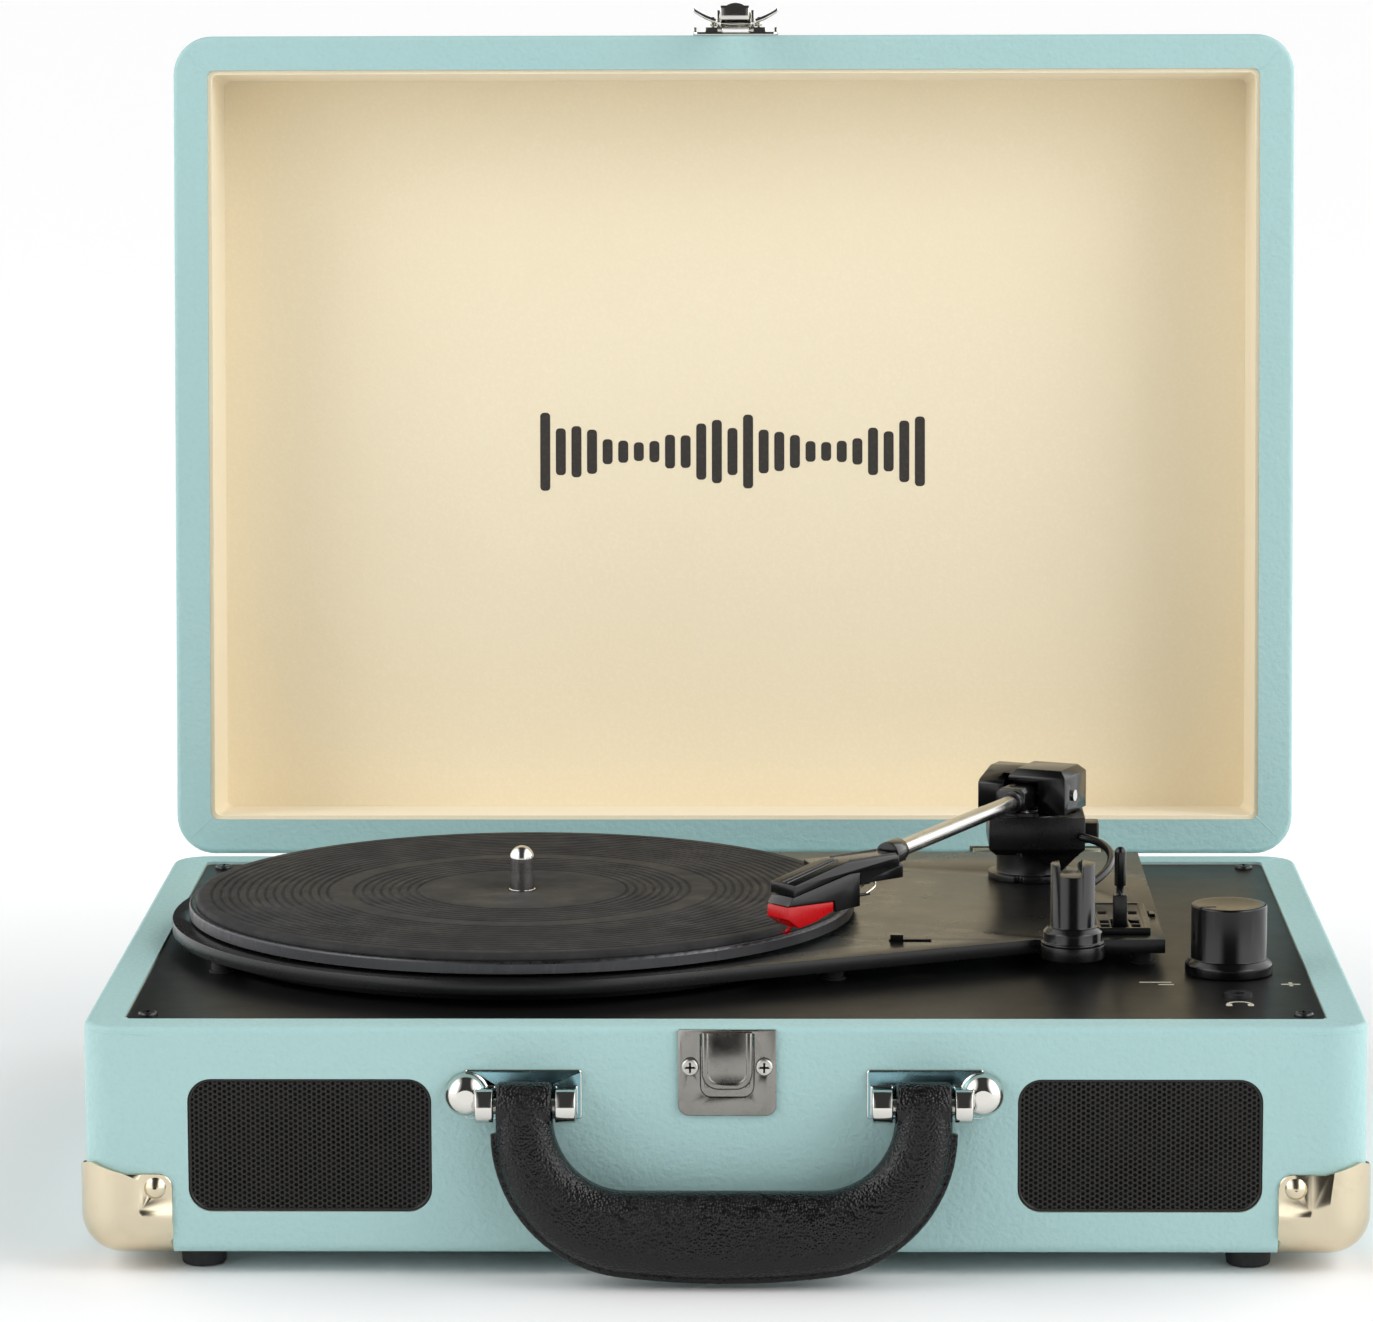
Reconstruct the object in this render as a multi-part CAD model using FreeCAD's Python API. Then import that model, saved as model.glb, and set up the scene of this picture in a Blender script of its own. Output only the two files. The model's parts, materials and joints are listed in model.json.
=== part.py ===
import FreeCAD, Part
import math
import os

os.makedirs("parts", exist_ok=True)
V = FreeCAD.Vector

# Suitcase record player, open.  Millimetres, +Z up, floor at Z 0.  The model is laid out about the
# middle of the base's plan, with +X to the right and +Y to the back, and ORIGIN_Y then moves it so
# that the frame's origin is under the middle of the open player.

# base case
CASE_W = 350.0
CASE_D = 256.0
FOOT_H = 6.0
RIM_Z = 69.2
COVER = 0.8
WALL = 10.7
BOARD = 6.8
CORNER_R = 10.5
EDGE_R = 3.0
RIM_R = 1.6
PROTECTOR_REACH = 24.5
PROTECTOR_T = 0.7
DECK_T = 3.0
DECK_DROP = 0.9
GAP = 0.3

# lid, laid out closed and then opened about its hinge
LID_H = 50.0
LID_CORNER_R = 12.0
LID_CAVITY = 45.0
LID_GAP = 0.4
LINER_T = 1.2
LID_OPEN_DEG = 96.0
HINGE_OUT = 0.3
KNUCKLE_R = 2.2
HINGE_XS = (-95.0, 95.0)
HINGE_W = 40.0

# front of the base
GRILLE_X = 112.9
GRILLE_W = 66.5
GRILLE_H = 37.0
GRILLE_Z = 36.2
GRILLE_R = 6.5
LATCH_X = 0.8
STRIKE_Z = (44.8, 68.6)
TONGUE_Z = (52.3, 68.0)
HANDLE_Y = -137.0
HANDLE_Z = 49.3
HANDLE_X = 54.0
HANDLE_TILT = 6.0

# turntable
SPINDLE = (-60.5, 0.4)
SPINDLE_R = 3.55
JOURNAL_R = 3.9
SPINDLE_TOP = 95.7
PLATE_Z = (72.3, 76.3)
PLATE_T = 1.8
PLATE_R = 102.0
WELL_R = 92.0
WELL_Z = (69.2, 70.8)
PLATTER_R = 97.0
PLATTER_Z = (77.3, 80.8)
BELT_RING_R = 58.5
MAT_TOP = 82.8
MOTOR = (-126.3, 38.4)
PULLEY_R = 5.0
RUNNING = 0.05

# tonearm
PIVOT = (90.4, 55.0)
ARM_ANGLE = 23.1
LIFT_Z = 102.0
HOUSING_Z = (85.0, 96.6)
HEAD_Z = (97.0, 110.0)
TUBE_R = 2.4
TUBE_Z = (101.5, 102.5)
TUBE_U = (10.0, 114.0)
HEADSHELL_TURN = 26.0
STYLUS = (16.7, -78.1, 84.7)
REST_AT = (98.0, -48.0)

# controls
KNOB = (142.1, -50.5)
JACK = (142.5, -82.4)
LEVER = (112.4, -29.0)

FRONT = -CASE_D / 2
BACK = CASE_D / 2
SIDE = CASE_W / 2
DECK_Z = RIM_Z - DECK_DROP
INSIDE_X = SIDE - WALL
INSIDE_Y = BACK - WALL
FLOOR_IN = FOOT_H + BOARD
HINGE_Y = BACK + HINGE_OUT
HINGE_Z = RIM_Z + LID_GAP / 2
LID_Z = RIM_Z + LID_GAP
ORIGIN_Y = 28.4

NODES = {}
BASE_SCREWS = []
BASE_PINS = []


# ---------------------------------------------------------------- shape helpers

def block(x, y, z):
    return Part.makeBox(x[1] - x[0], y[1] - y[0], z[1] - z[0], V(x[0], y[0], z[0]))


def rod(radius, start, end):
    start, end = V(*start), V(*end)
    return Part.makeCylinder(radius, (end - start).Length, start, end - start)


def upright(radius, at, z):
    return rod(radius, (at[0], at[1], z[0]), (at[0], at[1], z[1]))


def along_x(radius, x, y, z):
    return rod(radius, (x[0], y, z), (x[1], y, z))


def tube(outer, inner, start, end):
    return rod(outer, start, end).cut(rod(inner, start, end))


def ring(outer, inner, at, z):
    return upright(outer, at, z).cut(upright(inner, at, z))


def fuse(shapes):
    shapes = list(shapes)
    return shapes[0].multiFuse(shapes[1:]).removeSplitter() if len(shapes) > 1 else shapes[0]


def runs_along(edge, axis):
    if not isinstance(edge.Curve, (Part.Line, Part.LineSegment)):
        return False
    return abs(edge.tangentAt(edge.FirstParameter).dot(axis)) > 0.99


def rounded(shape, radius, axis):
    return shape.makeFillet(radius, [e for e in shape.Edges if runs_along(e, axis)])


def level_edges(shape, z):
    return [e for e in shape.Edges
            if abs(e.BoundBox.ZMin - z) < 1e-4 and abs(e.BoundBox.ZMax - z) < 1e-4]


def upright_slab(x, y, z, radius):
    return rounded(block(x, y, z), radius, V(0, 0, 1))


def front_slab(x, y, z, radius):
    return rounded(block(x, y, z), radius, V(0, 1, 0))


def extruded(points, direction):
    """A prism from outline points; a three-item entry (start, middle, end) is an arc."""
    edges = []
    for item in points:
        if len(item) == 3:
            edges.append(Part.Arc(V(*item[0]), V(*item[1]), V(*item[2])).toShape())
        else:
            edges.append(Part.LineSegment(V(*item[0]), V(*item[1])).toShape())
    return Part.Face(Part.Wire(edges)).extrude(V(*direction))


def polygon(points, direction):
    wire = Part.makePolygon([V(*p) for p in points] + [V(*points[0])])
    return Part.Face(wire).extrude(V(*direction))


def mirrored(shape):
    return shape.mirror(V(0, 0, 0), V(1, 0, 0))


def mirrored_y(shape):
    return shape.mirror(V(0, 0, 0), V(0, 1, 0))


def turned(shape, at, axis, degrees):
    copy = shape.copy()
    copy.rotate(V(*at), V(*axis), degrees)
    return copy


def opened(shape):
    """A lid piece from its closed place to its open one."""
    return turned(shape, (0, HINGE_Y, HINGE_Z), (1, 0, 0), -LID_OPEN_DEG)


def at_four_corners(shapes):
    right = list(shapes) + [mirrored_y(s) for s in shapes]
    return right + [mirrored(s) for s in right]


def group(shapes):
    return Part.makeCompound(list(shapes))


def add(name, shape):
    NODES[name] = shape


def screw_head(radius, height, at, outward):
    """A low domed head with a cross recess, lying on `at` and facing `outward`."""
    axis = V(*outward)
    head = Part.makeCylinder(radius, height, V(0, 0, 0), V(0, 0, 1))
    head = head.makeFillet(height * 0.6, level_edges(head, height))
    arm, slot = radius * 0.62, radius * 0.13
    depth = (height * 0.45, height + 1)
    head = head.cut(block((-arm, arm), (-slot, slot), depth))
    head = head.cut(block((-slot, slot), (-arm, arm), depth))
    head.Placement = FreeCAD.Placement(V(*at), FreeCAD.Rotation(V(0, 0, 1), axis))
    return head


def wood_screw(radius, height, at, outward, shank_r, length):
    """A screw whose head lies on `at`, with a plain shank behind it."""
    inward = V(*outward) * -length
    shank = Part.makeCylinder(shank_r, length, V(*at), inward)
    return fuse([screw_head(radius, height, at, outward), shank])


# ---------------------------------------------------------------- base case

def ball_cornered(inset, low, high):
    """A box with round upright edges and equally round bottom edges."""
    x, y = SIDE - inset, BACK - inset
    body = upright_slab((-x, x), (-y, y), (low, high), CORNER_R - inset)
    return body.makeFillet(CORNER_R - inset - 1, level_edges(body, low))


def corner_zones(z):
    zones = []
    for sx in (-1, 1):
        for sy in (-1, 1):
            x = sorted((sx * (SIDE - PROTECTOR_REACH), sx * (SIDE + 5)))
            y = sorted((sy * (BACK - PROTECTOR_REACH), sy * (BACK + 5)))
            zones.append(block(x, y, z))
    return zones


def case_block(inset):
    """The base's outer form, moved inward: bottom edges tight, bottom corners ball-round."""
    x, y, low, high = SIDE - inset, BACK - inset, FOOT_H + inset, RIM_Z - inset
    body = upright_slab((-x, x), (-y, y), (low, high), CORNER_R - inset)
    body = body.makeFillet(EDGE_R - inset, level_edges(body, low))
    body = body.makeFillet(RIM_R - inset * 0.5, level_edges(body, high))
    zones = group(corner_zones((low - 5, low + 20)))
    return fuse([body.cut(zones), ball_cornered(inset, low, high).common(zones).common(body)])


def case_cavity():
    return upright_slab((-INSIDE_X, INSIDE_X), (-INSIDE_Y, INSIDE_Y), (FLOOR_IN, RIM_Z + 5), 2.0)


def speaker_windows(grow, y):
    x = GRILLE_W / 2 + grow
    z = (GRILLE_Z - GRILLE_H / 2 - grow, GRILLE_Z + GRILLE_H / 2 + grow)
    one = front_slab((GRILLE_X - x, GRILLE_X + x), y, z, GRILLE_R + grow)
    return [one, mirrored(one)]


def hinge_pockets():
    half = HINGE_W / 2 + 1
    return [along_x(KNUCKLE_R + 0.5, (x - half, x + half), HINGE_Y, HINGE_Z) for x in HINGE_XS]


JACK_PLATE_X = (60.0, 130.0)
JACK_PLATE_Z = (20.0, 48.0)


def rear_cutout():
    x = (JACK_PLATE_X[0] + 5, JACK_PLATE_X[1] - 5)
    z = (JACK_PLATE_Z[0] + 5, JACK_PLATE_Z[1] - 5)
    return front_slab(x, (BACK - WALL - 1, BACK + 1), z, 3.0)


POST_SIDE = 13.0


def deck_posts():
    """Glue blocks in the corners, and at mid length, that the deck panel is screwed to."""
    posts = []
    low, high = FLOOR_IN - 0.5, DECK_Z - DECK_T
    for sx in (-1, 1):
        for sy in (-1, 1):
            x = sorted((sx * (INSIDE_X + 0.5), sx * (INSIDE_X - POST_SIDE)))
            y = sorted((sy * (INSIDE_Y + 0.5), sy * (INSIDE_Y - POST_SIDE)))
            posts.append(block(x, y, (low, high)))
    return posts


def build_case():
    core = case_block(COVER)
    cavity = case_cavity()
    tub = fuse([core.cut(cavity)] + deck_posts())
    holes = speaker_windows(0, (FRONT - 1, FRONT + WALL + 1)) + hinge_pockets() + [rear_cutout()]
    for at in DECK_SCREWS:
        holes.append(upright(1.0, at, (DECK_Z - DECK_T - 10, DECK_Z)))
    for at in FOOT_AT:
        holes.append(upright(1.25, at, (FOOT_H, FLOOR_IN + 1)))
    add("base_tub", tub.cut(group(holes)))
    skin = case_block(0).cut(core).cut(cavity)
    add("base_covering", skin.cut(group(holes)))


FOOT_AT = [(sx * 143.6, sy * 113.0) for sx in (-1, 1) for sy in (-1, 1)]
FOOT_R = 6.6
DECK_SCREWS = [(x, y) for x in (-158.4, 158.4) for y in (-109.6, 109.6)]


def build_feet():
    feet = []
    for at in FOOT_AT:
        foot = Part.makeCone(FOOT_R - 0.6, FOOT_R, FOOT_H, V(at[0], at[1], 0))
        foot = foot.makeFillet(0.8, level_edges(foot, 0))
        foot = foot.cut(upright(3.4, at, (-1, 2.6))).cut(upright(1.25, at, (0, FOOT_H + 1)))
        feet.append(foot)
        head = upright(3.0, at, (0.9, 2.6))
        BASE_SCREWS.append(fuse([head, upright(1.2, at, (2.6, FLOOR_IN - 0.5))]))
    add("feet", group(feet))


def protector_profile(side, across):
    """The outline seen square on, in (distance from the middle, height), as a long prism."""
    inner, outer = side - PROTECTOR_REACH, side + 3
    low, tab, peak, r = FOOT_H - 3, 28.4, 32.3, 4.0
    slant_in, slant_out = side - 12.0, side + 1
    mid = r * (1 - math.sqrt(0.5))

    def p(d, z):
        return (across, d, z)

    return [(p(inner, low), p(inner, tab - r)),
            (p(inner, tab - r), p(inner + mid, tab - mid), p(inner + r, tab)),
            (p(inner + r, tab), p(slant_in, tab)),
            (p(slant_in, tab), p(slant_out, peak)),
            (p(slant_out, peak), p(outer, peak)),
            (p(outer, peak), p(outer, low)),
            (p(outer, low), p(inner, low))]


def build_protectors():
    shell = ball_cornered(-PROTECTOR_T, FOOT_H - PROTECTOR_T, RIM_Z).cut(case_block(0))
    side_prism = extruded(protector_profile(BACK, -SIDE - 5), (CASE_W + 10, 0, 0))
    front_prism = turned(extruded(protector_profile(SIDE, -SIDE - 5), (CASE_W + 10, 0, 0)),
                         (0, 0, 0), (0, 0, 1), -90)
    corner = shell.common(side_prism).common(front_prism)
    rivet_front = dome((SIDE - 19.8, BACK + PROTECTOR_T, 24.4), (0, 1, 0), 3.0, 1.5)
    rivet_side = dome((SIDE + PROTECTOR_T, BACK - 19.8, 24.4), (1, 0, 0), 3.0, 1.5)
    stem_front = rod(1.1, (SIDE - 19.8, BACK - 6, 24.4), (SIDE - 19.8, BACK + PROTECTOR_T + 0.2, 24.4))
    stem_side = rod(1.1, (SIDE - 6, BACK - 19.8, 24.4), (SIDE + PROTECTOR_T + 0.2, BACK - 19.8, 24.4))
    rivets = [fuse([rivet_front, stem_front]), fuse([rivet_side, stem_side])]
    plate = corner.cut(group([stem_front, stem_side]))
    add("corner_protectors", group(at_four_corners([plate])))
    add("protector_rivets", group(at_four_corners(rivets)))
    stems = at_four_corners([stem_front, stem_side])
    NODES["base_tub"] = NODES["base_tub"].cut(group(stems))
    NODES["base_covering"] = NODES["base_covering"].cut(group(stems))


def dome(at, outward, radius, height):
    """A spherical cap of this radius and height standing on `at`."""
    ball_r = (radius ** 2 + height ** 2) / (2 * height)
    ball = Part.makeSphere(ball_r, V(0, 0, height - ball_r))
    cap = ball.common(Part.makeCylinder(ball_r, height, V(0, 0, 0)))
    cap.Placement = FreeCAD.Placement(V(*at), FreeCAD.Rotation(V(0, 0, 1), V(*outward)))
    return cap


# ---------------------------------------------------------------- speakers

GRILLE_T = 1.2
GRILLE_DROP = 0.8
SPEAKER_R = 24.0


def build_speakers():
    inner_face = FRONT + WALL
    frames, cones, magnets = [], [], []
    for name, sx in (("left", -1), ("right", 1)):
        cx = sx * GRILLE_X
        half = GRILLE_W / 2 - 0.15
        z = (GRILLE_Z - GRILLE_H / 2 + 0.15, GRILLE_Z + GRILLE_H / 2 - 0.15)
        y = (FRONT + GRILLE_DROP, FRONT + GRILLE_DROP + GRILLE_T)
        add("speaker_grille_" + name, front_slab((cx - half, cx + half), y, z, GRILLE_R - 0.15))
        cz = GRILLE_Z + 2.6

        def turned_part(profile):
            points = [V(cx, inner_face + y_in, cz + r) for r, y_in in profile]
            face = Part.Face(Part.makePolygon(points + [points[0]]))
            return face.revolve(V(cx, 0, cz), V(0, 1, 0), 360)

        frames.append(turned_part([(SPEAKER_R, 0), (SPEAKER_R, 1.2), (21.0, 1.2), (13.0, 11.0),
                                   (6.0, 11.0), (6.0, 10.0), (12.4, 10.0), (20.0, 1.0), (20.0, 0)]))
        cones.append(turned_part([(19.6, 0.3), (19.6, 0.8), (6.5, 6.4), (0.0, 3.4), (0.0, 2.9),
                                  (6.4, 5.7)]))
        magnets.append(turned_part([(0.0, 11.0), (0.0, 22.0), (14.0, 22.0), (14.0, 11.0)]))
    add("speaker_frames", group(frames))
    add("speaker_cones", group(cones))
    add("speaker_magnets", group(magnets))


# ---------------------------------------------------------------- strike plate and handle

def build_strike():
    x = (LATCH_X - 13.3, LATCH_X + 13.3)
    plate = block(x, (FRONT - 1.0, FRONT), STRIKE_Z)
    low = [e for e in plate.Edges if runs_along(e, V(0, 1, 0)) and e.BoundBox.ZMax < STRIKE_Z[0] + 1]
    plate = plate.makeFillet(2.8, low)
    tongue = block((LATCH_X - 6.85, LATCH_X + 6.85), (FRONT - 3.0, FRONT - 1.0), TONGUE_Z)
    low = [e for e in tongue.Edges if runs_along(e, V(0, 1, 0)) and e.BoundBox.ZMax < TONGUE_Z[0] + 1]
    tongue = tongue.makeFillet(4.5, low)
    tongue = tongue.makeFillet(0.8, [e for e in tongue.Edges if abs(e.BoundBox.YMax - FRONT + 3.0) < 1e-4
                                     and e.BoundBox.ZMin < TONGUE_Z[1] - 0.5])
    dish = block((LATCH_X - 5.3, LATCH_X + 5.3), (FRONT - 4.0, FRONT - 2.3), (54.0, TONGUE_Z[1] + 1))
    tongue = tongue.cut(dish.makeFillet(3.4, [e for e in dish.Edges if runs_along(e, V(0, 1, 0))
                                             and e.BoundBox.ZMin < 60]))
    punched = block((LATCH_X - 7.3, LATCH_X + 7.3), (FRONT - 1.5, FRONT + 0.5), (49.9, TONGUE_Z[1] - 0.6))
    low = [e for e in punched.Edges if runs_along(e, V(0, 1, 0)) and e.BoundBox.ZMax < 51]
    punched = punched.makeFillet(3.0, low)
    plate = plate.cut(punched)
    root = block((LATCH_X - 6.2, LATCH_X + 6.2), (FRONT - 2.0, FRONT), (TONGUE_Z[0] + 0.6, TONGUE_Z[1]))
    tongue = fuse([tongue, root])
    slot = block((LATCH_X - 5.2, LATCH_X + 5.2), (FRONT - 4.0, FRONT + 1), (49.9, TONGUE_Z[0]))
    plate = fuse([plate, tongue]).cut(slot)
    for side in (-1, 1):
        at = (LATCH_X + side * 10.05, FRONT - 1.0, 58.35)
        BASE_SCREWS.append(wood_screw(2.4, 1.1, at, (0, -1, 0), 1.1, 8.0))
        plate = plate.cut(rod(1.1, at, (at[0], FRONT + 0.1, at[2])))
    pocket = block((LATCH_X - 5.2, LATCH_X + 5.2), (FRONT, FRONT + 1.5), (49.9, TONGUE_Z[0]))
    shanks = [rod(1.1, (s, FRONT - 0.1, 58.35), (s, FRONT + 7.0, 58.35))
              for s in (LATCH_X - 10.05, LATCH_X + 10.05)]
    for name in ("base_tub", "base_covering"):
        NODES[name] = NODES[name].cut(group([pocket] + shanks))
    add("strike_plate", plate)


LUG_R = 4.6
PIN_R = 2.0


def handle_bracket():
    """The right-hand bracket: a backing plate, two lugs for the pin, and a domed end cap."""
    face = FRONT - 1.2
    plate = front_slab((38.6, 70.5), (face, FRONT), (43.8, 57.6), 1.0)
    parts = [plate]
    for x in ((40.0, 45.6), (62.3, 67.2)):
        parts.append(along_x(LUG_R, x, HANDLE_Y, HANDLE_Z))
        parts.append(block(x, (HANDLE_Y, face + 0.1), (HANDLE_Z - 3.6, HANDLE_Z + 3.6)))
    cap = rod(5.85, (70.0, FRONT - 6.6, 50.9), (70.0, FRONT, 50.9))
    rim = [e for e in cap.Edges if abs(e.BoundBox.YMax - (FRONT - 6.6)) < 1e-3]
    parts.append(cap.makeFillet(4.2, rim))
    bracket = fuse(parts)
    bracket = bracket.cut(along_x(PIN_R, (40.6, 65.8), HANDLE_Y, HANDLE_Z))
    return bracket.cut(rod(1.5, (70.0, FRONT - 2.0, 50.9), (70.0, FRONT + 0.1, 50.9)))


HANDLE_OUT = 61.7
HANDLE_IN = 46.2
HANDLE_BELOW = 2.6
GRIP_TOP = 26.3
SAG_R = 233.0
ELBOW_R = 38.0
PALM_R = 20.0
ARM_HALF = 7.0


def handle_outline(grow, inner):
    """The handle seen from the front, `grow` outside its outer edge and `inner` inside the
    other: a long shallow arc below, an elbow each side, and a straight palm edge above."""
    top, sag_z = HANDLE_Z, HANDLE_BELOW + SAG_R
    elbow_x = HANDLE_OUT - ELBOW_R
    elbow_z = sag_z - math.sqrt((SAG_R - ELBOW_R) ** 2 - elbow_x ** 2)
    lean = math.atan2(elbow_x, sag_z - elbow_z)
    reach, sag = ELBOW_R + grow, SAG_R + grow
    palm_x, palm_z = HANDLE_IN - PALM_R, GRIP_TOP + PALM_R
    palm = PALM_R + inner

    def p(x, z):
        return (x, 0.0, z)

    def on_elbow(side, angle):
        return p(side * (elbow_x + reach * math.sin(angle)), elbow_z - reach * math.cos(angle))

    def on_palm(side, angle):
        return p(side * (palm_x + palm * math.sin(angle)), palm_z - palm * math.cos(angle))

    quarter = math.pi / 2
    halfway = (lean + quarter) / 2
    foot_r, foot_l = on_elbow(1, lean), on_elbow(-1, lean)
    return [(p(palm_x + palm, top), on_palm(1, quarter)),
            (on_palm(1, quarter), on_palm(1, quarter / 2), on_palm(1, 0)),
            (on_palm(1, 0), on_palm(-1, 0)),
            (on_palm(-1, 0), on_palm(-1, quarter / 2), on_palm(-1, quarter)),
            (on_palm(-1, quarter), p(-palm_x - palm, top)),
            (p(-palm_x - palm, top), p(-elbow_x - reach, top)),
            (p(-elbow_x - reach, top), on_elbow(-1, quarter)),
            (on_elbow(-1, quarter), on_elbow(-1, halfway), foot_l),
            (foot_l, p(0, sag_z - sag), foot_r),
            (foot_r, on_elbow(1, halfway), on_elbow(1, quarter)),
            (on_elbow(1, quarter), p(elbow_x + reach, top)),
            (p(elbow_x + reach, top), p(palm_x + palm, top))]


def build_handle():
    bracket = handle_bracket()
    add("handle_bracket_right", bracket)
    add("handle_bracket_left", mirrored(bracket))
    screws = [rod(1.45, (70.0, FRONT - 1.8, 50.9), (70.0, FRONT + WALL + 1.0, 50.9)),
              rod(3.0, (70.0, FRONT + WALL, 50.9), (70.0, FRONT + WALL + 1.8, 50.9))]
    screw = fuse(screws)
    BASE_SCREWS.extend([screw, mirrored(screw)])
    hole = rod(1.5, (70.0, FRONT - 0.1, 50.9), (70.0, FRONT + WALL + 0.1, 50.9))
    for name in ("base_tub", "base_covering"):
        NODES[name] = NODES[name].cut(group([hole, mirrored(hole)]))
    pins = [along_x(PIN_R, (40.6, 65.8), HANDLE_Y, HANDLE_Z)]
    BASE_PINS.extend(pins + [mirrored(pins[0])])

    core = extruded(handle_outline(0, 0), (0, 2 * ARM_HALF, 0))
    core.translate(V(0, -ARM_HALF, 0))
    core = core.makeFillet(5.0, [e for e in core.Edges if e.BoundBox.YLength < 1e-4
                                 and (e.BoundBox.ZMin < HANDLE_Z - 1)])
    seam = extruded(handle_outline(1.5, 5.0), (0, 3.0, 0))
    seam.translate(V(0, -1.5, 0))
    seam = seam.common(block((-80, 80), (-5, 5), (-10, HANDLE_Z - 7.5)))
    knuckles = [along_x(6.6, x, 0, HANDLE_Z) for x in ((46.6, 61.3), (-61.3, -46.6))]
    grip = fuse([core, seam] + knuckles)
    grip = grip.cut(along_x(PIN_R + RUNNING, (-70, 70), 0, HANDLE_Z))
    grip.translate(V(0, HANDLE_Y, 0))
    add("handle_grip", turned(grip, (0, HANDLE_Y, HANDLE_Z), (-1, 0, 0), HANDLE_TILT))


# ---------------------------------------------------------------- deck and turntable

def plate_outline_solid(z, grow=0.0):
    """The raised turntable plate: a disc round the platter, joined to a squarer right end."""
    edge_x, front, back = 124.7 + grow, -42.4 - grow, 96.0 + grow
    radius = PLATE_R + grow
    away = math.hypot(88.0 - SPINDLE[0], front - SPINDLE[1])
    bearing = math.atan2(front - SPINDLE[1], 88.0 - SPINDLE[0])
    touch = bearing - math.acos(radius / away)
    tx, ty = SPINDLE[0] + radius * math.cos(touch), SPINDLE[1] + radius * math.sin(touch)
    points = [(SPINDLE[0], SPINDLE[1], z[0]), (tx, ty, z[0]), (88.0, front, z[0]),
              (edge_x, front, z[0]), (edge_x, back, z[0]), (SPINDLE[0], back, z[0])]
    wedge = polygon(points, (0, 0, z[1] - z[0]))
    disc = upright(radius, SPINDLE, z)
    lug = upright(9.0 + grow, REST_AT, z)
    return fuse([wedge, disc, lug])


ISOLATORS = [(118.6, -35.0), (119.0, 89.0), (-143.9, -48.9), (-143.9, 49.7), (30.0, -58.2)]


def build_deck():
    z = (DECK_Z - DECK_T, DECK_Z)
    fit = 0.25
    x, y = INSIDE_X - fit, INSIDE_Y - fit
    deck = upright_slab((-x, x), (-y, y), z, 2.0)
    deck = deck.cut(upright(WELL_R - 8, SPINDLE, (0, 100)))
    deck = deck.cut(upright(12.5, PIVOT, (0, 100))).cut(upright(19.5, MOTOR, (0, 100)))
    deck = deck.cut(upright(4.0, KNOB, (0, 100))).cut(upright(3.1, JACK, (0, 100)))
    screws = []
    for at in DECK_SCREWS:
        deck = deck.cut(upright(1.25, at, (0, 100)))
        screws.append(wood_screw(2.7, 1.3, (at[0], at[1], DECK_Z), (0, 0, 1), 1.0, 11.0))
    for at in ISOLATORS:
        deck = deck.cut(upright(1.2, at, (0, 100)))
    add("deck_panel", deck)
    add("deck_screws", group(screws))


def build_chassis():
    top = plate_outline_solid(PLATE_Z)
    plate = top.cut(plate_outline_solid((PLATE_Z[0] - 1, PLATE_Z[1] - PLATE_T), -PLATE_T))
    plate = plate.cut(upright(WELL_R, SPINDLE, (0, 100)))
    well = ring(WELL_R + 1.6, WELL_R, SPINDLE, (WELL_Z[0], PLATE_Z[1]))
    floor = upright(WELL_R + 0.2, SPINDLE, WELL_Z)
    hub = upright(9.0, SPINDLE, (WELL_Z[0], 74.0))
    posts = [upright(4.6, at, (POST_Z, PLATE_Z[1] - PLATE_T + 0.2)) for at in ISOLATORS]
    plate = fuse([plate, well, floor, hub] + posts)
    holes = [upright(3.0, SPINDLE, (0, 100)), upright(8.0, MOTOR, (0, 100)),
             upright(6.0, PIVOT, (0, 100)), block(*LEVER_SLOT, (0, 100)), block(*STOP_SLOT, (0, 100)),
             block(*SPEED_SLOT, (0, 100))]
    holes += [upright(1.2, at, (0, POST_Z + 2.6)) for at in ISOLATORS]
    add("mechanism_plate", plate.cut(group(holes)))
    mounts, bolts = [], []
    for at in ISOLATORS:
        pad = fuse([upright(2.9, at, (DECK_Z, POST_Z)), upright(3.6, at, (DECK_Z, DECK_Z + 0.6))])
        mounts.append(pad.cut(upright(1.2, at, (0, 100))))
        bolts.append(fuse([upright(1.2, at, (DECK_Z - DECK_T - 1.0, POST_Z + 2.6)),
                           upright(2.6, at, (DECK_Z - DECK_T - 2.2, DECK_Z - DECK_T))]))
    add("isolation_mounts", group(mounts))
    bolts.append(ring(5.5, 3.0, SPINDLE, (65.6, WELL_Z[0])))
    bolts.append(ring(6.0, 3.9, KNOB, (DECK_Z, DECK_Z + 2.0)))
    add("chassis_fasteners", group(bolts))


POST_Z = PLATE_Z[0] + 0.4
LEVER_SLOT = ((110.0, 114.8), (-32.6, -20.0))
STOP_SLOT = ((121.9, 124.0), (-8.6, 0.6))
SPEED_SLOT = ((46.0, 58.0), (-46.0, -42.0))


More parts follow.
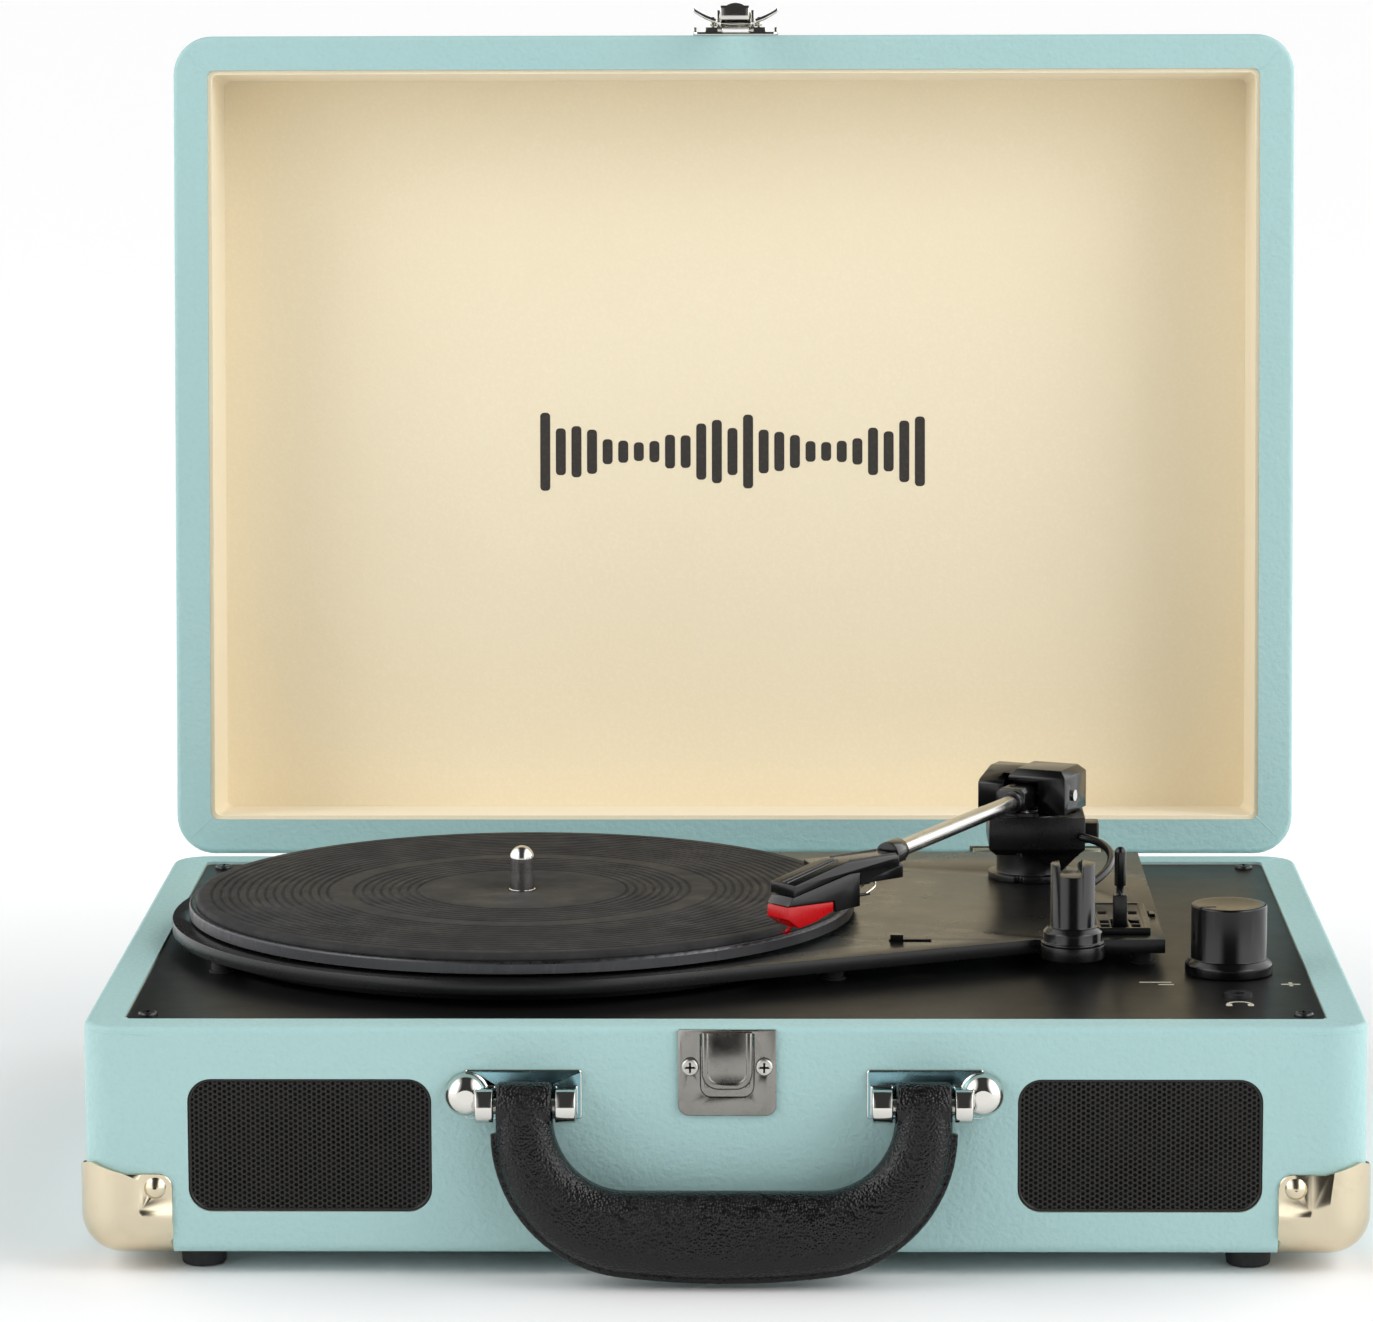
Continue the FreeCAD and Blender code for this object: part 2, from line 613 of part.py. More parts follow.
def build_platter():
    """Platter with an outer skirt, a ring for the belt and a bearing hub; mat on top."""
    low, high = PLATTER_Z
    disc = upright(PLATTER_R, SPINDLE, (high - 1.6, high))
    disc = fuse([disc, ring(PLATTER_R, PLATTER_R - 2.5, SPINDLE, (low, high)),
                 ring(BELT_RING_R, BELT_RING_R - 2.4, SPINDLE, (72.4, high)),
                 upright(8.0, SPINDLE, (74.3, high))])
    top = [e for e in level_edges(disc, high) if e.Length > 2 * math.pi * (PLATTER_R - 1)]
    disc = disc.makeFillet(0.8, top)
    add("platter", disc.cut(upright(JOURNAL_R + RUNNING, SPINDLE, (0, 200))))
    mat = ring(PLATTER_R - 2.0, JOURNAL_R + 0.25, SPINDLE, (high, MAT_TOP))
    for radius in (45.0, 60.0, 75.0, 88.0):
        mat = mat.cut(ring(radius + 0.8, radius, SPINDLE, (MAT_TOP - 0.5, MAT_TOP + 1)))
    add("platter_mat", mat)


def build_spindle():
    shaft = fuse([upright(JOURNAL_R, SPINDLE, (74.0, MAT_TOP + 0.1)),
                  upright(SPINDLE_R, SPINDLE, (MAT_TOP, SPINDLE_TOP - SPINDLE_R))])
    nose = Part.makeSphere(SPINDLE_R, V(SPINDLE[0], SPINDLE[1], SPINDLE_TOP - SPINDLE_R))
    stem = upright(3.0, SPINDLE, (64.0, 74.0))
    tip = nose.common(upright(5, SPINDLE, (SPINDLE_TOP - SPINDLE_R, SPINDLE_TOP)))
    add("spindle", fuse([shaft, tip, stem]))
    shaft_top = 77.8
    can = upright(16.0, MOTOR, (46.0, 66.4))
    collar = upright(5.0, MOTOR, (66.4, WELL_Z[0] + 0.8))
    bracket = upright_slab((MOTOR[0] - 18, MOTOR[0] + 18), (MOTOR[1] - 6, MOTOR[1] + 6),
                           (66.4, WELL_Z[0]), 5.5)
    add("motor", fuse([can, collar, bracket]).cut(upright(1.0 + RUNNING, MOTOR, (60, 100))))
    pulley = fuse([upright(PULLEY_R, MOTOR, (71.6, shaft_top)),
                   upright(PULLEY_R + 1.0, MOTOR, (71.6, 72.4)),
                   upright(PULLEY_R + 1.0, MOTOR, (77.0, shaft_top)),
                   upright(1.0, MOTOR, (61.0, 72.0))])
    add("motor_pulley", pulley)


def loop(offset, z):
    """A belt-shaped prism round the platter's ring and the motor's pulley."""
    big, small = BELT_RING_R + offset, PULLEY_R + offset
    dx, dy = MOTOR[0] - SPINDLE[0], MOTOR[1] - SPINDLE[1]
    apart, bearing = math.hypot(dx, dy), math.atan2(dy, dx)
    swing = math.acos((big - small) / apart)

    def on(centre, radius, angle):
        return (centre[0] + radius * math.cos(angle), centre[1] + radius * math.sin(angle), z[0])

    first, last = bearing + swing, bearing - swing
    edges = [(on(SPINDLE, big, first), on(SPINDLE, big, bearing + math.pi), on(SPINDLE, big, last)),
             (on(SPINDLE, big, last), on(MOTOR, small, last)),
             (on(MOTOR, small, last), on(MOTOR, small, bearing), on(MOTOR, small, first)),
             (on(MOTOR, small, first), on(SPINDLE, big, first))]
    return extruded(edges, (0, 0, z[1] - z[0]))


def build_belt():
    slack = 0.15
    z = (72.8, 76.6)
    add("drive_belt", loop(slack + 0.7, z).cut(loop(slack, (z[0] - 1, z[1] + 1))))


# ---------------------------------------------------------------- tonearm

ALONG = (-math.sin(math.radians(ARM_ANGLE)), -math.cos(math.radians(ARM_ANGLE)))
ACROSS = (math.cos(math.radians(ARM_ANGLE)), -math.sin(math.radians(ARM_ANGLE)))


def arm_point(right, ahead, z):
    return (PIVOT[0] + ACROSS[0] * right + ALONG[0] * ahead,
            PIVOT[1] + ACROSS[1] * right + ALONG[1] * ahead, z)


def on_arm(shape):
    """From an upright layout (+X right of the arm, -Y ahead) to the arm's own direction."""
    shape.translate(V(PIVOT[0], PIVOT[1], 0))
    return turned(shape, (PIVOT[0], PIVOT[1], 0), (0, 0, 1), -ARM_ANGLE)


HOUSING_AHEAD = 14.4
KEEL_Z = 80.2
RAIL_R = (12.0, 13.4)
RAIL_SPAN = (-45.4, -20.0, 6.6)
RAIL_TOP = 97.7
RAIL_PIN_R = 1.2
RAIL_PIN = (PIVOT[0] - 4.3, PIVOT[1] - 11.95)


def build_housing():
    x = (77.2, 105.8)
    y = (PIVOT[1] - HOUSING_AHEAD, 69.0)
    body = block(x, y, HOUSING_Z)
    body = body.makeChamfer(2.0, level_edges(body, HOUSING_Z[0]))
    body = body.cut(ring(RAIL_R[1] + GAP, RAIL_R[0] - GAP, PIVOT, (HOUSING_Z[1] - 2.4, HOUSING_Z[1] + 1)))
    column = upright(10.5, PIVOT, (PLATE_Z[1], HOUSING_Z[0] + 0.5))
    foot = upright(13.0, PIVOT, (PLATE_Z[1], PLATE_Z[1] + 2.0))
    side = upright_slab((105.6, 110.4), (50.0, 58.0), (87.3, 93.4), 0.8)
    tail = upright(6.0, PIVOT, (62.0, PLATE_Z[1] + 0.5))
    keel = polygon([(90.3, y[0] + 2.4, HOUSING_Z[0] + 0.6), (104.4, y[0] + 2.4, HOUSING_Z[0] + 0.6),
                    (99.2, y[0] + 2.4, KEEL_Z), (97.1, y[0] + 2.4, KEEL_Z)], (0, 6.0, 0))
    housing = fuse([body, column, foot, side, tail, keel])
    bores = [upright(3.0 + RUNNING, PIVOT, (0, 200)), upright(RAIL_PIN_R + RUNNING, RAIL_PIN, (0, 200))]
    add("tonearm_housing", housing.cut(group(bores)))


def build_rail():
    """The curved rail that lifts the arm from below, on a pin that slides in the housing."""
    z = (HOUSING_Z[1] - 2.0, RAIL_TOP)
    arc = ring(RAIL_R[1], RAIL_R[0], PIVOT, z)
    fan = [(PIVOT[0], PIVOT[1], z[0])]
    for angle in RAIL_SPAN:
        turn = math.radians(angle)
        fan.append((PIVOT[0] + 40 * math.sin(turn), PIVOT[1] - 40 * math.cos(turn), z[0]))
    sector = polygon(fan, (0, 0, z[1] - z[0]))
    pin = upright(RAIL_PIN_R, RAIL_PIN, (HOUSING_Z[0] - 0.4, z[0] + 0.2))
    add("cue_lift_rail", fuse([arc.common(sector), pin]))
    add("cue_link", along_link())


LINK_X = 104.6
LINK_Z = 83.2


def along_link():
    """The rod that carries the lever's motion back towards the lift rail: a round end cap, two
    posts and a curved arm up to the housing."""
    shaft = rod(1.4, (LINK_X, 36.0, LINK_Z), (LINK_X, 2.0, LINK_Z))
    cap = rod(3.0, (LINK_X, 10.0, LINK_Z), (LINK_X, 13.0, LINK_Z))
    posts = [block((LINK_X - 1.5, LINK_X + 1.5), (y, y + 3.0), (PLATE_Z[1], LINK_Z - 0.8))
             for y in (4.0, 30.0)]
    start, middle = V(LINK_X, PIVOT[1] - HOUSING_AHEAD - 0.9, 91.0), V(112.0, 16.0, 87.5)
    path = Part.Arc(start, middle, V(LINK_X, 3.0, LINK_Z)).toShape()
    section = Part.Wire(Part.Circle(start, path.tangentAt(path.FirstParameter), 1.2).toShape())
    arm = Part.Wire(path).makePipeShell([section], True, False)
    return fuse([shaft, cap, arm] + posts)


def build_head():
    """The swinging head: a hollow block with bevelled top edges, lower on its left."""
    low, high = HEAD_Z
    main = block((-4.7, 13.3), (-7.4, 11.0), (low, high))
    main = main.makeChamfer(2.0, level_edges(main, high))
    wing = polygon([(-14.5, -7.4, low), (-14.5, -7.4, 105.2), (-14.5, -6.2, 106.2), (-14.5, 3.0, 109.0),
                    (-14.5, 10.0, 109.0), (-14.5, 10.0, low)], (10.0, 0, 0))
    shell = fuse([main, wing])
    room = block((-8.6, 11.3), (-6.0, 9.2), (low - 1, 107.6))
    room = fuse([room, block((-12.7, -8.0), (-6.0, 8.2), (low - 1, 103.6)),
                 block((-6.4, 4.6), (-9.0, -5.0), (low - 1, 106.6))])
    shell = shell.cut(room)
    neck = fuse([upright(2.9, (0, 0), (low - 0.2, 98.4)), block((-14.3, 11.5), (1.5, 5.0), (low, 98.4))])
    pin_z = LIFT_Z
    shell = fuse([shell, neck.cut(upright(2.9, (0, 0), (0, low)))])
    shell = shell.cut(along_x(1.0, (-20, 20), 0, pin_z))
    add("tonearm_head", on_arm(shell))
    shaft = upright(3.0, (0, 0), (60.5, low))
    add("tonearm_shaft", on_arm(shaft))
    pin = fuse([along_x(1.0, (-8.6, 13.3), 0, pin_z), along_x(1.7, (13.3, 13.9), 0, pin_z)])
    add("lift_pivot_pin", on_arm(pin))


def tube_z(ahead):
    share = (ahead - TUBE_U[0]) / (TUBE_U[1] - TUBE_U[0])
    return TUBE_Z[0] + share * (TUBE_Z[1] - TUBE_Z[0])


def build_arm():
    start = arm_point(0, TUBE_U[0], TUBE_Z[0])
    end = arm_point(0, TUBE_U[1], TUBE_Z[1])
    add("arm_tube", tube(TUBE_R, TUBE_R - 0.5, start, end))
    boss = block((-5.4, 3.6), (-15.6, 3.4), (98.9, 105.4))
    boss = boss.makeChamfer(1.3, [e for e in level_edges(boss, 105.4) if e.BoundBox.YLength > 5])
    boss = fuse([boss, rod(3.3, (0, -15.0, 101.5), (0, -18.0, 101.5))])
    boss = boss.cut(along_x(1.0 + RUNNING, (-20, 20), 0, LIFT_Z))
    boss = on_arm(boss).cut(rod(TUBE_R, start, end))
    add("arm_boss", boss)
    weight = block((-7.4, 10.2), (3.8, 7.6), (99.0, 106.0))
    stem = block((-2.0, 0.6), (3.4, 4.2), (100.0, 104.0))
    add("counterweight", on_arm(fuse([weight, stem])))


SHELL_L = 39.0
SHELL_W = 10.3
SHELL_TOP = (99.4, 103.9)


def on_shell(shape):
    """From a layout with the stylus over the origin, +Y to the shell's back, to its place."""
    shape.translate(V(STYLUS[0], STYLUS[1], 0))
    return turned(shape, (STYLUS[0], STYLUS[1], 0), (0, 0, 1), -(ARM_ANGLE + HEADSHELL_TURN))


def build_headshell():
    half = SHELL_W / 2
    front, ridge, back = -1.2, 18.6, SHELL_L - 1.2
    low, high = SHELL_TOP
    skin = polygon([(-half, front, low - 3.2), (-half, front, low), (-half, ridge, high),
                    (-half, back, high), (-half, back, high - 3.4), (-half, ridge, high - 3.4)],
                   (2 * half, 0, 0))
    skin = skin.makeChamfer(0.7, level_edges(skin, high))
    finger = polygon([(-half, 14.0, high - 3.0), (-half - 7.0, 17.0, high - 3.0),
                      (-half - 4.0, 30.0, high - 3.0), (-half, 33.0, high - 3.0)], (0, 0, 1.6))
    socket = block((-half + 0.6, half - 1.0), (24.0, back + 2.4), (high - 7.2, high - 3.3))
    shell = on_shell(fuse([skin, finger, socket]))
    collar = rod(3.5, arm_point(0, TUBE_U[1] - 7.0, tube_z(TUBE_U[1] - 7.0)),
                 arm_point(0, TUBE_U[1] + 1.0, tube_z(TUBE_U[1] + 1.0)))
    web = polygon([arm_point(-2.6, 107.5, 99.8), arm_point(2.6, 107.5, 99.8),
                   arm_point(2.6, 118.0, 99.8), arm_point(-2.6, 118.0, 99.8)], (0, 0, 2.6))
    shell = fuse([shell, collar, web])
    shell = shell.cut(rod(TUBE_R, arm_point(0, 100, tube_z(100)), arm_point(0, TUBE_U[1], TUBE_Z[1])))
    add("headshell", shell)
    body = polygon([(-4.6, -3.0, 93.6), (-4.6, -1.2, 96.0), (-4.6, 20.0, high - 3.6),
                    (-4.6, 23.6, high - 3.6), (-4.6, 23.6, 90.6), (-4.6, 14.5, 90.0),
                    (-4.6, 14.0, 93.2)], (9.2, 0, 0))
    stylus_body = polygon([(-4.4, -3.2, 90.0), (-4.4, -3.0, 93.4), (-4.4, 13.8, 93.0),
                           (-4.4, 13.8, 90.4), (-4.4, 7.0, 88.0), (-4.4, 1.2, 87.0)], (8.8, 0, 0))
    lever = rod(0.45, (0, 3.0, 87.9), (0, 0, STYLUS[2] + 0.8))
    tip = Part.makeCone(0.12, 0.45, 0.9, V(0, 0, STYLUS[2]))
    add("stylus", on_shell(fuse([stylus_body, lever, tip])))
    pins = [rod(0.45, (x, 23.0, z), (x, 29.0, z)) for x in (-2.4, 2.4) for z in (93.2, 96.4)]
    add("cartridge", on_shell(fuse([body] + pins)))


def build_rest():
    tier = upright(8.4, REST_AT, (PLATE_Z[1], 81.4))
    base = [upright(9.0, REST_AT, (PLATE_Z[1], 77.2)), tier.makeChamfer(1.4, level_edges(tier, 81.4))]
    column = upright(6.3, REST_AT, (77.0, 99.5))
    shape = fuse(base + [column])
    x, y = REST_AT
    shape = shape.cut(block((x - 3.8, x + 2.5), (y - 9, y + 9), (96.3, 110)))
    add("tonearm_rest", shape)


# ---------------------------------------------------------------- controls

def build_lever():
    x, y = LEVER
    bezel = upright_slab((105.3, 121.0), (-35.6, 3.0), (PLATE_Z[1], PLATE_Z[1] + 2.0), 0.6)
    bezel = bezel.cut(block(LEVER_SLOT[0], LEVER_SLOT[1], (0, 100)))
    bezel = bezel.cut(block((106.2, 119.2), (-34.2, 2.0), (PLATE_Z[1] + 1.6, 100)))
    for wx in (106.9, 115.7):
        for wy in (-32.6, -26.4, -13.0):
            bezel = bezel.cut(block((wx, wx + 2.6), (wy, wy + 4.6), (PLATE_Z[1] + 0.7, 100)))
    add("cue_bezel", bezel)
    axle_z = 71.5
    stem = block((x - 2.0, x + 2.0), (y - 1.7, y + 1.7), (axle_z - 1.0, 86.8))
    handle = upright(1.65, (x, y), (89.4, 99.1))
    tip = Part.makeSphere(1.65, V(x, y, 99.1))
    neck = upright(1.1, (x, y), (86.5, 89.6))
    axle = along_x(1.0, (x - 5.0, x + 5.0), y, axle_z)
    add("cue_lever", fuse([stem, handle, tip, neck, axle]))
    ears = [block((cx - 1.0, cx + 1.0), (y - 3.0, y + 3.0), (69.8, PLATE_Z[1] - PLATE_T + 0.2))
            for cx in (x - 4.0, x + 4.0)]
    plate = fuse([NODES["mechanism_plate"]] + ears)
    NODES["mechanism_plate"] = plate.cut(along_x(1.0 + RUNNING, (x - 6.0, x + 6.0), y, axle_z))


def build_switches():
    x = (STOP_SLOT[0][0] + 0.3, STOP_SLOT[0][1] - 0.3)
    add("auto_stop_switch", fuse([block(x, (-8.2, -3.8), (72.6, PLATE_Z[1] + 0.8))]))
    (x0, x1), (y0, y1) = SPEED_SLOT
    nub = block((x0 + 0.3, x0 + 4.0), (y0 + 0.3, y1 - 0.3), (73.0, PLATE_Z[1] + 2.0))
    add("speed_selector", nub)


KNOB_H = 20.0
KNOB_OFF_DEG = -54.0


def build_knob():
    """Volume knob on the shaft of its potentiometer, under the deck."""
    skirt = upright(12.4, KNOB, (DECK_Z + GAP, DECK_Z + 4.6))
    skirt = skirt.makeChamfer(1.6, level_edges(skirt, DECK_Z + 4.6))
    body = upright(10.7, KNOB, (DECK_Z + 3.0, DECK_Z + KNOB_H))
    body = body.makeFillet(0.6, level_edges(body, DECK_Z + KNOB_H))
    mark = block((KNOB[0] - 0.4, KNOB[0] + 0.4), (KNOB[1] - 12.0, KNOB[1] - 5.0),
                 (DECK_Z + KNOB_H - 0.5, DECK_Z + KNOB_H + 1))
    mark = turned(mark, (KNOB[0], KNOB[1], 0), (0, 0, 1), KNOB_OFF_DEG)
    dish_r = 90.0
    dish = Part.makeSphere(dish_r, V(KNOB[0], KNOB[1], DECK_Z + KNOB_H - 0.5 + dish_r))
    body = body.cut(dish)
    knob = fuse([skirt, body]).cut(upright(6.6, KNOB, (DECK_Z, DECK_Z + 3.4)))
    stem = upright(3.0, KNOB, (DECK_Z - 9.0, DECK_Z + 12.0))
    add("volume_knob", fuse([knob.cut(mark), stem]))
    bush = ring(3.9, 3.0 + RUNNING, KNOB, (DECK_Z - DECK_T - 1.0, DECK_Z + 2.4))
    pot = ring(8.4, 3.0 + RUNNING, KNOB, (DECK_Z - 9.5, DECK_Z - DECK_T))
    closed_end = upright(8.4, KNOB, (DECK_Z - 14.0, DECK_Z - 9.3))
    add("volume_potentiometer", fuse([bush, pot, closed_end]))


def build_jack():
    bezel = ring(3.9, 1.8, JACK, (DECK_Z, DECK_Z + 0.9))
    neck = ring(3.0, 1.8, JACK, (DECK_Z - DECK_T - 0.5, DECK_Z + 0.2))
    body = block((JACK[0] - 5, JACK[0] + 5), (JACK[1] - 5, JACK[1] + 5), (DECK_Z - 17, DECK_Z - DECK_T))
    body = body.cut(upright(1.8, JACK, (DECK_Z - 14, DECK_Z)))
    add("headphone_jack", fuse([neck, body, bezel]))
    board = block((60.0, 150.0), (-95.0, -36.0), (34.0, 35.6))
    parts = [board]
    for sx, sy, h in ((80, -50, 12), (95, -50, 12), (112, -56, 8), (128, -80, 7)):
        parts.append(upright(4.0, (sx, sy), (35.4, 35.4 + h)))
    parts.append(block((72.0, 90.0), (-86.0, -72.0), (35.4, 45.0)))
    parts.append(block((100.0, 110.0), (-88.0, -80.0), (35.4, 38.0)))
    posts = [upright(2.5, at, (FLOOR_IN, 34.0)) for at in BOARD_POSTS]
    add("amplifier_board", fuse(parts + posts))


BOARD_POSTS = [(64.0, -91.0), (146.0, -91.0), (64.0, -40.0), (146.0, -40.0)]
RCA_XS = (74.0, 88.0)
POWER_X = 114.0
REAR_Z = 34.0


def build_rear():
    plate = front_slab(JACK_PLATE_X, (BACK, BACK + 1.5), JACK_PLATE_Z, 3.0)
    holes = [rod(5.1, (x, BACK - 1, REAR_Z), (x, BACK + 3, REAR_Z)) for x in RCA_XS]
    holes.append(rod(4.1, (POWER_X, BACK - 1, REAR_Z), (POWER_X, BACK + 3, REAR_Z)))
    corners = [(JACK_PLATE_X[0] + 3.2, REAR_Z), (JACK_PLATE_X[1] - 3.2, REAR_Z)]
    screws = []
    for x, z in corners:
        holes.append(rod(1.2, (x, BACK - 1, z), (x, BACK + 3, z)))
        screws.append(wood_screw(2.3, 1.0, (x, BACK + 1.5, z), (0, 1, 0), 1.1, 8.5))
    add("rear_jack_plate", plate.cut(group(holes)))
    BASE_SCREWS.extend(screws)
    shanks = [rod(1.1, (x, BACK - 8, z), (x, BACK + 1, z)) for x, z in corners]
    for name in ("base_tub", "base_covering"):
        NODES[name] = NODES[name].cut(group(shanks))
    sockets = []
    for x in RCA_XS:
        barrel = tube(4.15, 3.4, (x, BACK + 1.5, REAR_Z), (x, BACK + 9.5, REAR_Z))
        insulator = tube(3.4, 1.6, (x, BACK - 2.0, REAR_Z), (x, BACK + 9.0, REAR_Z))
        body = tube(5.0, 1.6, (x, BACK - 5.0, REAR_Z), (x, BACK + 1.6, REAR_Z))
        sockets.append(fuse([barrel, insulator, body]))
    add("rca_sockets", group(sockets))
    inlet = tube(4.0, 2.75, (POWER_X, BACK - 9.0, REAR_Z), (POWER_X, BACK + 2.2, REAR_Z))
    pin = rod(1.05, (POWER_X, BACK - 11.0, REAR_Z), (POWER_X, BACK + 0.5, REAR_Z))
    back = rod(4.0, (POWER_X, BACK - 12.0, REAR_Z), (POWER_X, BACK - 9.0, REAR_Z))
    add("power_inlet", fuse([inlet, pin, back]))


# ---------------------------------------------------------------- lid

def lid_block(inset):
    x, y, high = SIDE - inset, BACK - inset, LID_Z + LID_H - inset
    low = LID_Z + inset
    body = upright_slab((-x, x), (-y, y), (low, high), LID_CORNER_R - inset)
    body = body.makeFillet(EDGE_R - inset, level_edges(body, high))
    return body.makeFillet(RIM_R - inset * 0.5, level_edges(body, low))


def lid_cavity(inset, low):
    x, y = INSIDE_X - inset, INSIDE_Y - inset
    return upright_slab((-x, x), (-y, y), (low, LID_Z + LID_CAVITY - inset), 2.0)


def build_lid():
    core = lid_block(COVER)
    cavity = lid_cavity(0, LID_Z - 5)
    cuts = group([cavity] + hinge_pockets())
    add("lid_box", opened(core.cut(cuts)))
    add("lid_covering", opened(lid_block(0).cut(core).cut(cuts)))
    liner = lid_cavity(0, LID_Z + 1.2).cut(lid_cavity(LINER_T, LID_Z - 5)).cut(group(hinge_pockets()))
    add("lid_liner", opened(liner))


def leaf(x, z, barrel_x):
    """One hinge leaf on the back face with its knuckles about the hinge line."""
    plate = block(x, (BACK, BACK + 1.0), z)
    parts = [plate]
    for span in barrel_x:
        parts.append(along_x(KNUCKLE_R, span, HINGE_Y, HINGE_Z))
        low, high = sorted((HINGE_Z, z[0] + 0.5 if z[0] > HINGE_Z else z[1] - 0.5))
        parts.append(block(span, (BACK + 0.05, BACK + 1.0), (low, high)))
    bore = 1.0 + (RUNNING if z[0] > HINGE_Z else 0)
    return fuse(parts).cut(along_x(bore, (x[0] - 5, x[1] + 5), HINGE_Y, HINGE_Z))


def build_hinges():
    half, third = HINGE_W / 2, HINGE_W / 6
    base_leaves, lid_leaves, lid_screws, shanks, lid_shanks = [], [], [], [], []
    for cx in HINGE_XS:
        x = (cx - half, cx + half)
        outer = [(x[0], cx - third - 0.3), (cx + third + 0.3, x[1])]
        base_leaves.append(leaf(x, (48.0, 66.4), outer))
        lid_leaves.append(leaf(x, (72.6, 91.0), [(cx - third, cx + third)]))
        BASE_PINS.append(along_x(1.0, x, HINGE_Y, HINGE_Z))
        for sx in (-1, 1):
            low, high = (cx + sx * 12, BACK + 1.0, 55.0), (cx + sx * 12, BACK + 1.0, 84.0)
            BASE_SCREWS.append(wood_screw(2.0, 0.8, low, (0, 1, 0), 0.9, 7.0))
            lid_screws.append(wood_screw(2.0, 0.8, high, (0, 1, 0), 0.9, 7.0))
            shanks.append(rod(0.9, (low[0], BACK - 6, low[2]), (low[0], BACK + 1, low[2])))
            lid_shanks.append(rod(0.9, (high[0], BACK - 6, high[2]), (high[0], BACK + 1, high[2])))
    add("hinge_leaves_base", group(base_leaves))
    add("hinge_leaves_lid", opened(group(lid_leaves)))
    for name in ("base_tub", "base_covering", "hinge_leaves_base"):
        NODES[name] = NODES[name].cut(group(shanks))
    lid_holes = opened(group(lid_shanks))
    for name in ("lid_box", "lid_covering", "hinge_leaves_lid"):
        NODES[name] = NODES[name].cut(lid_holes)
    add("hinge_screws_lid", opened(group(lid_screws)))


# ---------------------------------------------------------------- latch on the lid

LATCH_PIN = (FRONT - 4.6, 87.0)
CLAW_PIN = (FRONT - 6.6, 79.0)


def latch_span(half):
    return (LATCH_X - half, LATCH_X + half)


def build_latch():
    """The latch on the lid's front: base plate, curved finger lever and swinging claw."""
    plate = front_slab(latch_span(13.2), (FRONT - 1.0, FRONT), (70.6, 92.0), 1.6)
    rails = [block((LATCH_X + s - 0.5, LATCH_X + s + 0.5), (FRONT - 2.5, FRONT - 0.5), (71.2, 90.0))
             for s in (-12.6, 12.6)]
    bridge = block(latch_span(9.5), (FRONT - 2.5, FRONT - 0.8), (71.2, 75.5))
    bridge = bridge.cut(block(latch_span(4.0), (FRONT - 2.0, FRONT - 1.0), (70, 77)))
    ears = []
    for side in (-1, 1):
        cx = LATCH_X + side * 7.2
        ears.append(block((cx - 0.5, cx + 0.5), (LATCH_PIN[0] - 2.0, FRONT - 0.8), (85.7, 90.0)))
    base = fuse([plate] + rails + [bridge] + ears)
    add("latch_base_plate", opened(fuse([base, along_x(0.9, latch_span(8.1), *LATCH_PIN)])))

    def wing(z):
        rise, half, thick = 4.4, 13.2, 1.3
        y = FRONT - 3.4

        def arc(offset):
            return ((LATCH_X - half, y - rise + offset, z[0]), (LATCH_X, y + offset, z[0]),
                    (LATCH_X + half, y - rise + offset, z[0]))

        near, far = arc(0), arc(-thick)
        return extruded([near, (near[2], far[2]), (far[2], far[1], far[0]), (far[0], near[0])],
                        (0, 0, z[1] - z[0]))

    hub = block(latch_span(4.6), (LATCH_PIN[0] - 1.6, LATCH_PIN[0] + 1.6), (80.0, 88.6))
    arms = []
    for side in (-1, 1):
        cx = LATCH_X + side * 5.3
        arms.append(block((cx - 0.6, cx + 0.6), (CLAW_PIN[0] - 1.6, LATCH_PIN[0] + 1.6), (77.2, 88.6)))
    lever = fuse([wing((78.4, 84.4)), hub] + arms)
    room = block(latch_span(4.75), (FRONT - 12, CLAW_PIN[0] + 2.1), (70, 82.4))
    lever = lever.cut(room)
    lever = lever.cut(along_x(0.9 + RUNNING, latch_span(9), *LATCH_PIN))
    lever = fuse([lever, along_x(0.8, latch_span(5.9), *CLAW_PIN)])
    add("latch_lever", opened(lever))
    y, z = CLAW_PIN
    side_view = [(LATCH_X - 4.4, y - 1.4, z + 1.4), (LATCH_X - 4.4, y + 1.4, z + 1.4),
                 (LATCH_X - 4.4, y + 0.6, z - 5), (LATCH_X - 4.4, y + 0.6, 52.0),
                 (LATCH_X - 4.4, FRONT - 3.6, 51.7), (LATCH_X - 4.4, FRONT - 3.6, 50.4),
                 (LATCH_X - 4.4, y - 0.6, 50.4), (LATCH_X - 4.4, y - 1.4, 52.0)]
    claw = polygon(side_view, (8.8, 0, 0))
    claw = fuse([claw, dome((LATCH_X, y - 1.2, 70.0), (0, -1, 0), 4.2, 2.2)])
    add("latch_claw", opened(claw.cut(along_x(0.8 + RUNNING, latch_span(9), *CLAW_PIN))))


build_case()
build_feet()
build_protectors()
build_speakers()
build_strike()
build_handle()
build_deck()
build_chassis()
build_platter()
build_spindle()
build_belt()
build_housing()
build_rail()
build_head()
build_arm()
build_headshell()
build_rest()
build_lever()
build_switches()
build_knob()
build_jack()
build_rear()
build_lid()
build_hinges()
build_latch()

add("base_screws", group(BASE_SCREWS))
add("base_pins", group(BASE_PINS))

for node, shape in NODES.items():
    shape.translate(V(0, -ORIGIN_Y, 0))
    solids = shape.Solids
    print(node, len(solids), round(sum(s.Volume for s in solids), 1), shape.isValid())
    solid = solids[0] if len(solids) == 1 else Part.makeCompound(solids)
    solid.exportStep("parts/" + node + ".step")
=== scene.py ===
import json
import math

import bmesh
import bpy
from mathutils import Matrix, Vector


